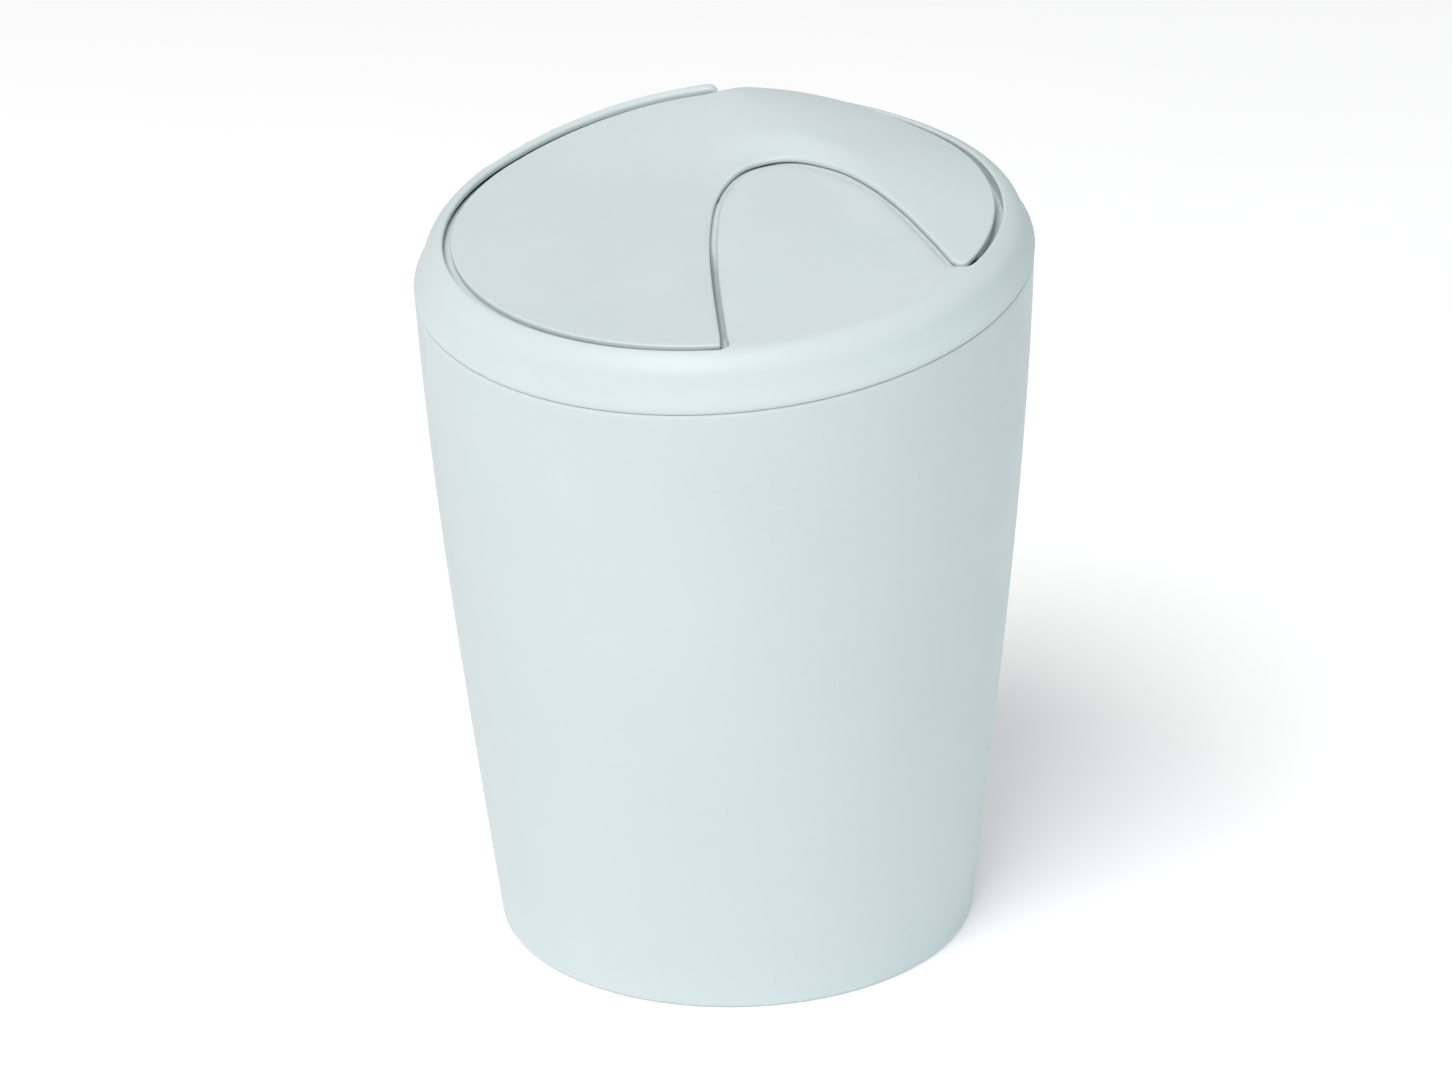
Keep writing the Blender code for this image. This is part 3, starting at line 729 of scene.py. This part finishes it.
def bucket_rows(angles):
    """Rows of points from the middle of the floor inside, over the rim, to the middle underneath."""
    top = bucket_rim(angles)
    floor_z = BASE_RECESS + BASE_THICKNESS
    c, s = np.cos(angles), np.sin(angles)
    rows = []

    def row(radius, z):
        rows.append(np.stack([radius * c, radius * s, z + 0.0 * c], axis=-1))

    def lip_row(radius, drop):
        row(radius, seam_z(radius * c, radius * s) - SEAM_GAP - drop)

    wall_foot = float(body_radius(floor_z + FLOOR_CORNER)) - BUCKET_WALL
    for r in FLOOR_RADII:
        row(r, floor_z)
    for a in np.radians(np.linspace(0.0, 90.0, 8)):
        row(wall_foot - FLOOR_CORNER + FLOOR_CORNER * math.sin(a),
            floor_z + FLOOR_CORNER * (1.0 - math.cos(a)))
    for share in np.linspace(0.04, 0.98, 26):
        z = floor_z + FLOOR_CORNER + (top - floor_z - FLOOR_CORNER) * share
        row(body_radius(z) - BUCKET_WALL, z)
    for a in np.radians(np.linspace(0.0, 90.0, 5)):
        lip_row(body_radius(top) - BUCKET_WALL + LIP_ROUNDING * (1 - math.cos(a)),
                LIP_ROUNDING * (1 - math.sin(a)))
    inset, depth = LIP_CHAMFER
    for a in np.radians(np.linspace(90.0, 0.0, 8)):
        lip_row(body_radius(top) - inset * (1 - math.cos(a)), depth * (1 - math.sin(a)))
    for share in np.linspace(0.985, 0.02, 44):
        z = FOOT_ROUNDING + (top - FOOT_ROUNDING) * share
        row(body_radius(z), z)
    for a in np.radians(np.linspace(0.0, 90.0, 9)):
        row(body_radius(FOOT_ROUNDING) - FOOT_ROUNDING * (1 - math.cos(a)),
            FOOT_ROUNDING * (1 - math.sin(a)))
    for r, z in UNDERSIDE:
        row(r, z)
    return np.array(rows)


def build_bucket():
    """Tapered shell with a rolled foot, recessed base with a moulding gate, and a slanted lip."""
    shell = Shell()
    shell.capped(bucket_rows(np.radians(np.arange(TURN_STEPS // 2) * 720.0 / TURN_STEPS)))
    make_piece("bucket_shell", shell, BUCKET_PLASTIC, "bin", "bucket")


# ---------------------------------------------------------------- lid ring and tongue

def ring_angles():
    """Angles of the ring's columns, finer at the blunt end by the rear pivot."""
    even = np.arange(TURN_STEPS) * 360.0 / TURN_STEPS
    middle = NOTCH_ANGLE + NOTCH_WIDTH / 2
    fine = middle + np.linspace(-BLUNT_END_ANGLE, BLUNT_END_ANGLE, BLUNT_END_STEPS + 1)
    return np.sort(np.concatenate([even[np.abs(even - middle) > BLUNT_END_ANGLE + BLUNT_END_CLEAR], fine]))


def shoulder(radius):
    """Height of the ring's top outside the opening."""
    return -SHOULDER_DROP * (np.maximum(radius - SHOULDER_START, 0.0)
                             / (SHOULDER_JOIN - SHOULDER_START)) ** SHOULDER_POWER


def ring_top(plan, distance):
    """Height of the ring and tongue above the lid plane, with its edges rounded."""
    x, y = plan.T
    radius = np.hypot(x, y)
    outside = rising(radius, *RING_BY_RADIUS)
    height = crown(x, y) * (1.0 - outside)
    height = height - flap_rise(x, y) * rising(radius, *RISE_BY_RADIUS) * (1.0 - outside)
    height = height + shoulder(radius)
    at_rim = rising(radius, *RIM_BY_RADIUS)
    edge = RING_EDGE - RING_EDGE_LESS_AT_RIM * at_rim
    near_edge = np.clip(1.0 - distance / TONGUE_EDGE_REACH, 0.0, 1.0)
    return height - fillet(distance, edge) - TONGUE_EDGE_DROP * near_edge ** 2 * (1.0 - at_rim)


def ring_profile():
    """The ring's outside and skirt below the shoulder, as (radius, height)."""
    outside = resample(smooth_path(RING_OUTSIDE), RING_PROFILE_STEP, closed=False)
    return list(map(tuple, outside[1:])) + RING_INSIDE


def sheet_thickness(radius):
    """Thickness of the ring's sheet, more at the shoulder."""
    return SKIN + SHOULDER_THICKER * rising(radius, *THICKEN_BY_RADIUS)


def ring_points(loop):
    """Points over the ring and tongue: along the gap, on a grid, and on a finer grid at the notch."""
    grid = hex_grid(SHOULDER_JOIN, GRID_STEP)
    grid = grid[np.hypot(*(grid - NOTCH_CENTRE).T) >= NOTCH_REACH]
    notch = hex_grid(NOTCH_REACH, NOTCH_STEP)
    notch = notch[np.abs(notch[:, 0]) < NOTCH_HALF_WIDTH] + NOTCH_CENTRE
    points = [contour_points(loop, 1)]
    for extra, clear, margin in ((grid, GRID_CLEAR, GRID_MARGIN), (notch, NOTCH_CLEAR, NOTCH_MARGIN)):
        extra = extra[np.hypot(*extra.T) < SHOULDER_JOIN - margin]
        extra = extra[~inside(extra, loop)]
        points.append(extra[distance_to(extra, loop) > RINGS[-1] + clear])
    points = np.vstack(points)
    return points[np.hypot(*points.T) < SHOULDER_JOIN - CIRCLE_MARGIN]


def build_ring_sheet(shell):
    """The ring's top, the tongue and the skirt as one closed skin."""
    loop = SEAM + right_normals(SEAM) * half_gap(SEAM)
    angles = ring_angles()
    c, s = np.cos(np.radians(angles)), np.sin(np.radians(angles))
    circle = np.stack([SHOULDER_JOIN * c, SHOULDER_JOIN * s], axis=-1)
    plan, faces = fill([loop, circle], ring_points(loop))
    middle = plan[faces].mean(axis=1)
    faces = counter_clockwise(plan, faces[~inside(middle, loop)])
    distance = distance_to(plan, loop)
    top = ring_top(plan, distance)
    radius = np.hypot(*plan.T)
    low = ring_top(plan, distance + UNDERSIDE_INSET) - sheet_thickness(radius)
    low = low + fillet(distance, RING_UNDER_EDGE)
    n = len(plan)
    start = shell.add(seat_ring(plan[:, 0], plan[:, 1], top), faces)
    shell.add(seat_ring(plan[:, 0], plan[:, 1], low), faces[:, ::-1])
    on_circle = np.flatnonzero(np.abs(radius - SHOULDER_JOIN) < 1e-3)
    turn = np.degrees(np.arctan2(plan[on_circle, 1], plan[on_circle, 0])) % 360.0
    on_circle = on_circle[np.argsort(turn)]
    circle_set = set(on_circle.tolist())
    for a, b in boundary_edges(faces):
        if a in circle_set and b in circle_set:
            continue
        shell.face((start + b, start + a, start + n + a, start + n + b))
    rows = [on_circle + start]
    for r, h in ring_profile():
        points = seat_ring(r * c, r * s, np.full(len(angles), h))
        rows.append(np.arange(len(angles)) + shell.add(points, []))
    rows.append(on_circle + start + n)
    shell.strip_faces(np.array(rows))


def shelf(shell, first, last, side, under, top):
    """Lip that closes the gap from below; side 1 hangs it from the flap, -1 from the tongue."""
    path = np.take(SEAM, range(first, last + 1), axis=0, mode="wrap")
    normals = np.take(right_normals(SEAM), range(first, last + 1), axis=0, mode="wrap")
    path[0] += (path[1] - path[0]) * SHELF_END_GAP
    reach = np.clip(SHELF_PAST_PIVOT - side * path[:, 0], SHELF_PAST_PIVOT, SHELF_REACH)
    hold = -np.full(len(path), WAVE_HALF_GAP + SHELF_HOLD)
    level = top(path)
    foot = level - SHELF_THICKNESS
    root = np.full(len(path), SHELF_ROOT)
    corners = [(hold, root), (hold, foot), (reach - SHELF_CHAMFER, foot), (reach, foot + SHELF_CHAMFER),
               (reach, level - SHELF_CHAMFER), (reach - SHELF_CHAMFER, level),
               (hold * SHELF_INNER_SHARE, level), (hold * SHELF_INNER_SHARE, root)]
    rows = []
    for offset, height in corners:
        plan = path + normals * (side * offset)[:, None]
        rows.append(seat_flat(plan[:, 0], plan[:, 1], under(plan) + height))
    bar(shell, np.array(rows) if side > 0 else np.array(rows)[::-1])


def tongue_shelf_top(path):
    """The tongue's shelf hangs a little deeper away from the pivot line."""
    return SHELF_TOP - TONGUE_SHELF_DEEPER * rising(path[:, 0], *TONGUE_SHELF_BY_X)


def flap_shelf_top(path):
    """The flap's shelf hangs deeper towards the front corner."""
    return SHELF_TOP - SHELF_DEEPER * (1.0 - rising(path[:, 1], *FLAP_SHELF_BY_Y))


def lug(shell, side):
    """Snap-in bearing block, open downwards, front (-1) or rear (1), and the block behind it."""
    half, slot, bottom = LUG_HALF_WIDTH, SNAP_SLOT / 2, LUG_BOTTOM + PIVOT_DROP
    wraps = np.linspace(-LUG_WRAP, LUG_WRAP, BORE_STEPS + 1)
    bore = [(LUG_BORE * math.sin(a), LUG_BORE * math.cos(a)) for a in wraps]
    outline = [(-half, bottom), (-slot - SLOT_LEAD_IN, bottom), (-slot, bottom + SLOT_LEAD_IN)]
    outline += bore + [(slot, bottom + SLOT_LEAD_IN), (slot + SLOT_LEAD_IN, bottom), (half, bottom)]
    outline += [(half, LUG_TOP - LUG_CHAMFER), (half - LUG_CHAMFER, LUG_TOP),
                (LUG_CHAMFER - half, LUG_TOP), (-half, LUG_TOP - LUG_CHAMFER)]
    columns = []
    for u, w in outline:
        line = []
        for reach, drop in LUG_STATIONS:
            raised = w + (drop if w > LUG_TOP_FROM else 0.0)
            line.append(pivot_point(u, side * reach, raised))
        columns.append(line)
    columns = np.array(columns)
    bar(shell, columns if side < 0 else columns[::-1])
    back = [(-half, bottom), (half, bottom), (half, LUG_BACK_TOP), (-half, LUG_BACK_TOP)]
    columns = np.array([[pivot_point(u, side * r, w) for r in LUG_BACK_REACH] for u, w in back])
    bar(shell, columns if side < 0 else columns[::-1])


def pivot_point(u, along, w):
    """A point by the pivot line: u across, along the line, w above it."""
    tilt = math.atan(LID_SLOPE[1])
    y = along * math.cos(tilt) - w * math.sin(tilt)
    z = LID_HEIGHT - PIVOT_DROP + along * math.sin(tilt) + w * math.cos(tilt)
    return u, y, z


def turned_on_pivot(profile, side, steps):
    """Rows of points of a (radius, place along the pivot line) profile turned about the pivot line."""
    turns = np.linspace(0.0, 2 * math.pi, steps + 1)[:-1]
    rows = [[pivot_point(r * math.cos(a), side * t, r * math.sin(a)) for a in turns] for r, t in profile]
    return np.array(rows if side > 0 else rows[::-1])


def gusset(shell, angle):
    """Thin web between the shoulder and the skirt."""
    a = math.radians(angle)
    across = np.array([-math.sin(a), math.cos(a)])
    columns = []
    for r, h in GUSSET_OUTLINE:
        line = []
        for w in (-GUSSET_HALF_WIDTH, GUSSET_HALF_WIDTH):
            x, y = np.array([r * math.cos(a), r * math.sin(a)]) + across * w
            line.append(seat_ring(np.array(x), np.array(y), np.array(h)))
        columns.append(line)
    bar(shell, np.array(columns))


def tongue_surface(plan):
    """Height of the tongue's skin, its edges not rounded."""
    return ring_top(plan, np.full(len(plan), FAR_FROM_EDGE))


def flap_surface(plan):
    """Height of the flap's skin, its edges not rounded."""
    return crown(plan[:, 0], plan[:, 1])


def ledge_lift(x, y, _):
    """The ledge climbs with the ring on the right of the rear pivot."""
    return RIM_RISE_RIGHT * back_rise(x, y)


def flange_lift(x, y, _):
    """The flange climbs with the flap's rim."""
    return flap_rise(x, y)


def band_edge_lift(x, y, h):
    """The band's edge climbs with the band, but its foot stays close to the ledge."""
    return ledge_lift(x, y, h) if h == BAND_EDGE_FOOT else flap_rise(x, y)


def seam_index(x, y):
    """Number of the point of the gap's centre line that is nearest to a place."""
    return int(np.argmin(np.hypot(SEAM[:, 0] - x, SEAM[:, 1] - y)))


def build_lid_ring():
    """Lid ring with its tongue, ledge, shelf, bearing lugs and gussets."""
    shell = Shell()
    build_ring_sheet(shell)
    sector(shell, LEDGE_SECTION, LEDGE_SPAN, ledge_lift)
    shelf(shell, seam_index(*SHELF_HANDOVER), seam_index(*SHELF_TIP), -1, tongue_surface, tongue_shelf_top)
    for side in (-1, 1):
        lug(shell, side)
    for angle in GUSSET_ANGLES:
        gusset(shell, angle)
    make_piece("lid_ring_shell", shell, PLASTIC, "lid", "lid_ring")


# ---------------------------------------------------------------- flap

def flap_top(plan, distance):
    """Height of the flap above the lid plane, with its edges rounded."""
    edge = FLAP_EDGE - FLAP_EDGE_LESS_AT_RIM * rising(np.hypot(*plan.T), *RIM_BY_RADIUS)
    return crown(plan[:, 0], plan[:, 1]) - fillet(distance, edge)


def build_flap_sheet(shell):
    """Domed comma-shaped skin with rounded edges."""
    loop = SEAM - right_normals(SEAM) * half_gap(SEAM)
    grid = hex_grid(SEAM_RADIUS, GRID_STEP)
    grid = grid[inside(grid, loop)]
    grid = grid[distance_to(grid, loop) > RINGS[-1] + GRID_CLEAR]
    plan, faces = fill([loop], np.vstack([contour_points(loop, -1), grid]))
    middle = plan[faces].mean(axis=1)
    faces = counter_clockwise(plan, faces[inside(middle, loop)])
    distance = distance_to(plan, loop)
    top = flap_top(plan, distance)
    low = crown(plan[:, 0], plan[:, 1]) - SKIN + fillet(distance, FLAP_UNDER_EDGE)
    n = len(plan)
    start = shell.add(seat_flat(plan[:, 0], plan[:, 1], top), faces)
    shell.add(seat_flat(plan[:, 0], plan[:, 1], low), faces[:, ::-1])
    for a, b in boundary_edges(faces):
        shell.face((start + b, start + a, start + n + a, start + n + b))


def boxed(shell, place, width, length, low, high, bevel):
    """Bevelled upright block in a local frame: place(u, v, h) gives the seated point."""
    rows = []
    for inset, h in ((bevel, high), (0.0, high - bevel), (0.0, low + bevel), (bevel, low)):
        wide, long = width / 2 - inset, length / 2 - inset
        cut = bevel - inset * BOX_CORNER_NARROWING
        corners = [(wide - cut, -long), (wide, cut - long), (wide, long - cut), (wide - cut, long),
                   (cut - wide, long), (-wide, long - cut), (-wide, cut - long), (cut - wide, -long)]
        rows.append([place(u, v, h) for u, v in corners])
    shell.capped(np.array(rows))


def pocket_place(u, v, h):
    """Pocket axes: u radial, v along the band, from the counterweight's centre."""
    angle = math.atan2(WEIGHT_CENTRE[1], WEIGHT_CENTRE[0])
    x = WEIGHT_CENTRE[0] + u * math.cos(angle) - v * math.sin(angle)
    y = WEIGHT_CENTRE[1] + u * math.sin(angle) + v * math.cos(angle)
    return x, y, lid_z(x, y) + h


def pocket_size():
    """Width and length of the pocket outside."""
    extra = 2 * (POCKET_CLEARANCE + POCKET_WALL)
    return WEIGHT_SIZE[0] + extra, WEIGHT_SIZE[1] + extra


def pocket_walls(shell):
    """Open-bottomed box under the band."""
    width, length = pocket_size()
    end_top = POCKET_TOP - POCKET_END_LOWER
    beside, beyond = width / 2 - POCKET_WALL / 2, length / 2 - POCKET_WALL / 2

    def shifted(du, dv):
        return lambda u, v, h: pocket_place(u + du, v + dv, h)

    for offset, top in ((beside, POCKET_TOP - POCKET_OUTER_LOWER), (-beside, POCKET_TOP)):
        boxed(shell, shifted(offset, 0.0), POCKET_WALL, length, POCKET_BOTTOM, top, POCKET_BEVEL)
    for offset in (beyond, -beyond):
        boxed(shell, shifted(0.0, offset), width, POCKET_WALL, POCKET_BOTTOM, end_top, POCKET_BEVEL)


def hub(shell, side):
    """Bored barrel under the skin, front (-1) or rear (1), and its web."""
    low, high = HUB_SPAN
    profile = [(HUB_BORE, low + HUB_END_WALL), (HUB_BORE, high - HUB_LEAD_IN),
               (HUB_BORE + HUB_LEAD_IN, high), (HUB_RADIUS - HUB_CHAMFER, high),
               (HUB_RADIUS, high - HUB_CHAMFER), (HUB_RADIUS, low + HUB_CHAMFER),
               (HUB_RADIUS - HUB_CHAMFER, low), (HUB_VENT, low), (HUB_VENT, low + HUB_END_WALL)]
    shell.grid(turned_on_pivot(profile, side, HUB_STEPS), closed_rows=True)
    left, right, top = HUB_WEBS[side]
    centre, along = (left + right) / 2, side * (low + high) / 2

    def place(u, v, h):
        return u + centre, v + along, float(lid_z(u + centre, v + along)) + h

    boxed(shell, place, right - left, high - low - 1.0, HUB_WEB_BOTTOM, top - HUB_WEB_SUNK, 0.2)


def rib(shell, ends):
    """Thin stiffening web under the skin, along a straight line in plan."""
    (x0, y0), (x1, y1) = ends
    t = np.linspace(0.0, 1.0, RIB_STEPS + 1)
    line = np.stack([x0 + (x1 - x0) * t, y0 + (y1 - y0) * t], axis=-1)
    length = math.hypot(x1 - x0, y1 - y0)
    across = np.array([-(y1 - y0), x1 - x0]) / length
    from_end = np.minimum(t, 1 - t) * length / RIB_TAPER
    depth = RIB_END_DEPTH + (RIB_DEPTH - RIB_END_DEPTH) * smooth(from_end)
    foot = RIB_HALF_WIDTH * RIB_FOOT_SHARE
    columns = []
    for w, share in ((-RIB_HALF_WIDTH, 0.0), (RIB_HALF_WIDTH, 0.0), (foot, 1.0), (-foot, 1.0)):
        plan = line + across * w
        height = flap_surface(plan) - SKIN + RIB_SUNK - share * depth
        columns.append(seat_flat(plan[:, 0], plan[:, 1], height))
    bar(shell, np.array(columns))


def build_flap():
    """Flap with its flange, band edge, shelf, weight pocket, hubs and ribs."""
    shell = Shell()
    build_flap_sheet(shell)
    sector(shell, FLANGE_SECTION, FLANGE_SPAN, flange_lift)
    sector(shell, BAND_EDGE_SECTION, BAND_EDGE_SPAN, band_edge_lift)
    shelf(shell, seam_index(*SHELF_FRONT), seam_index(*SHELF_HANDOVER), 1, flap_surface, flap_shelf_top)
    pocket_walls(shell)
    for side in (-1, 1):
        hub(shell, side)
    for ends in RIB_LINES:
        rib(shell, ends)
    make_piece("swing_flap_shell", shell, PLASTIC, "flap", "swing_flap")


# ---------------------------------------------------------------- pins, weight, cover

def build_pins():
    """Chamfered axles with a moulded waist where they grip the hubs."""
    for name, side in (("pivot_pin_front", -1), ("pivot_pin_rear", 1)):
        shell = Shell()
        shell.capped(turned_on_pivot(PIN_PROFILE, side, PIN_STEPS))
        make_piece(name + "_turned", shell, PIN_PLASTIC, "flap", name)


def build_counterweight():
    """Plain steel bar with broken edges."""
    shell = Shell()
    width, length, height = WEIGHT_SIZE
    boxed(shell, pocket_place, width, length, WEIGHT_BOTTOM, WEIGHT_BOTTOM + height, 0.5)
    make_piece("counterweight_bar", shell, STEEL, "flap", "counterweight")


def build_weight_cover():
    """Plate that closes the pocket, with a pad that holds the bar up."""
    shell = Shell()
    width, length = pocket_size()
    top = POCKET_BOTTOM - COVER_GAP
    boxed(shell, pocket_place, width, length, top - COVER_THICKNESS, top, 0.35)
    pad_width, pad_length = WEIGHT_SIZE[0] - 0.2, WEIGHT_SIZE[1] - 0.2
    boxed(shell, pocket_place, pad_width, pad_length, top - 0.5, WEIGHT_BOTTOM - COVER_GAP, 0.2)
    make_piece("weight_cover_plate", shell, PLASTIC, "flap", "weight_cover")


# ---------------------------------------------------------------- stage

def build_stage():
    """Plain pale floor that glows faintly, so that it stays white far from the lights."""
    material, nodes, links, shader = node_material("studio_sweep")
    coordinates = nodes.new("ShaderNodeTexCoord").outputs["Object"]
    mottle = noise(nodes, links, coordinates, 3.0, 2.0)
    tint = blend_colours(nodes, links, ramp(nodes, links, mottle, 0.0, 1.0), (0.93, 0.935, 0.935),
                         (0.95, 0.95, 0.95))
    links.new(tint, shader.inputs["Base Color"])
    shader.inputs["Roughness"].default_value = 0.9
    shader.inputs["Specular IOR Level"].default_value = 0.1
    shader.inputs["Emission Color"].default_value = WHITE
    shader.inputs["Emission Strength"].default_value = FLOOR_GLOW
    mesh = bpy.data.meshes.new("floor")
    signs = ((-1, -1), (1, -1), (1, 1), (-1, 1))
    corners = [(across * FLOOR_REACH, back * FLOOR_REACH, 0.0) for across, back in signs]
    mesh.from_pydata(corners, [], [(0, 1, 2, 3)])
    mesh.materials.append(material)
    floor = bpy.data.objects.new("floor", mesh)
    bpy.context.scene.collection.objects.link(floor)


def build_camera():
    """Camera in front of the bin, looking down at the lid."""
    yaw, pitch, roll = [math.radians(a) for a in CAMERA_YAW_PITCH_ROLL]
    forward = Vector((math.sin(yaw) * math.cos(pitch), math.cos(yaw) * math.cos(pitch), -math.sin(pitch)))
    level = Vector((math.cos(yaw), -math.sin(yaw), 0.0))
    upright = level.cross(forward)
    right = math.cos(roll) * level + math.sin(roll) * upright
    up = math.cos(roll) * upright - math.sin(roll) * level
    matrix = Matrix((right, up, -forward)).transposed().to_4x4()
    matrix.translation = Vector(CAMERA_PLACE)
    data = bpy.data.cameras.new("camera")
    data.sensor_width = CAMERA_SENSOR
    data.lens = CAMERA_LENS
    data.clip_start, data.clip_end = CAMERA_CLIP
    camera = bpy.data.objects.new("camera", data)
    bpy.context.scene.collection.objects.link(camera)
    camera.matrix_world = matrix
    bpy.context.scene.camera = camera


def area_light(name, place, target, size, power, colour):
    """Rectangular light of a size in metres and a power in watts, aimed at a target."""
    data = bpy.data.lights.new(name, "AREA")
    data.shape = "RECTANGLE"
    data.size, data.size_y = size
    data.energy = power
    data.color = colour
    light = bpy.data.objects.new(name, data)
    bpy.context.scene.collection.objects.link(light)
    light.location = place
    light.rotation_mode = "QUATERNION"
    light.rotation_quaternion = (Vector(target) - Vector(place)).to_track_quat("-Z", "Y")


def build_lights():
    """A white room, a broad soft key from the front left, and a weak cool fill from the right."""
    world = bpy.data.worlds.new("studio")
    bpy.context.scene.world = world
    world.use_nodes = True
    background = world.node_tree.nodes["Background"]
    background.inputs["Color"].default_value = WHITE
    background.inputs["Strength"].default_value = ROOM_STRENGTH
    area_light("key", place=(-1.05, -2.0, 3.5), target=(0.0, 0.0, 0.15), size=(2.6, 2.4),
               power=142.0, colour=(1.0, 0.995, 0.985))
    area_light("cool_fill", place=(2.4, -0.9, 0.35), target=(0.0, 0.0, 0.12), size=(1.2, 1.4),
               power=6.6, colour=(0.2, 0.8, 1.0))
    bpy.context.scene.view_settings.view_transform = "Standard"
    bpy.context.scene.view_settings.look = "None"


SEAM = seam_loop()
PLASTIC = plastic_material("frosted_plastic", base=(0.605, 0.68, 0.68), deep=(0.585, 0.662, 0.662),
                           roughness=0.45, grain=0.35)
BUCKET_PLASTIC = plastic_material("bucket_plastic", base=(0.60, 0.672, 0.682),
                                  deep=(0.58, 0.655, 0.668), roughness=0.45, grain=0.35)
PIN_PLASTIC = plastic_material("pin_plastic", base=(0.63, 0.67, 0.67), deep=(0.59, 0.63, 0.64),
                               roughness=0.33, grain=0.12)
STEEL = steel_material()
build_camera()
build_bucket()
build_lid_ring()
build_flap()
build_pins()
build_counterweight()
build_weight_cover()
build_stage()
build_lights()
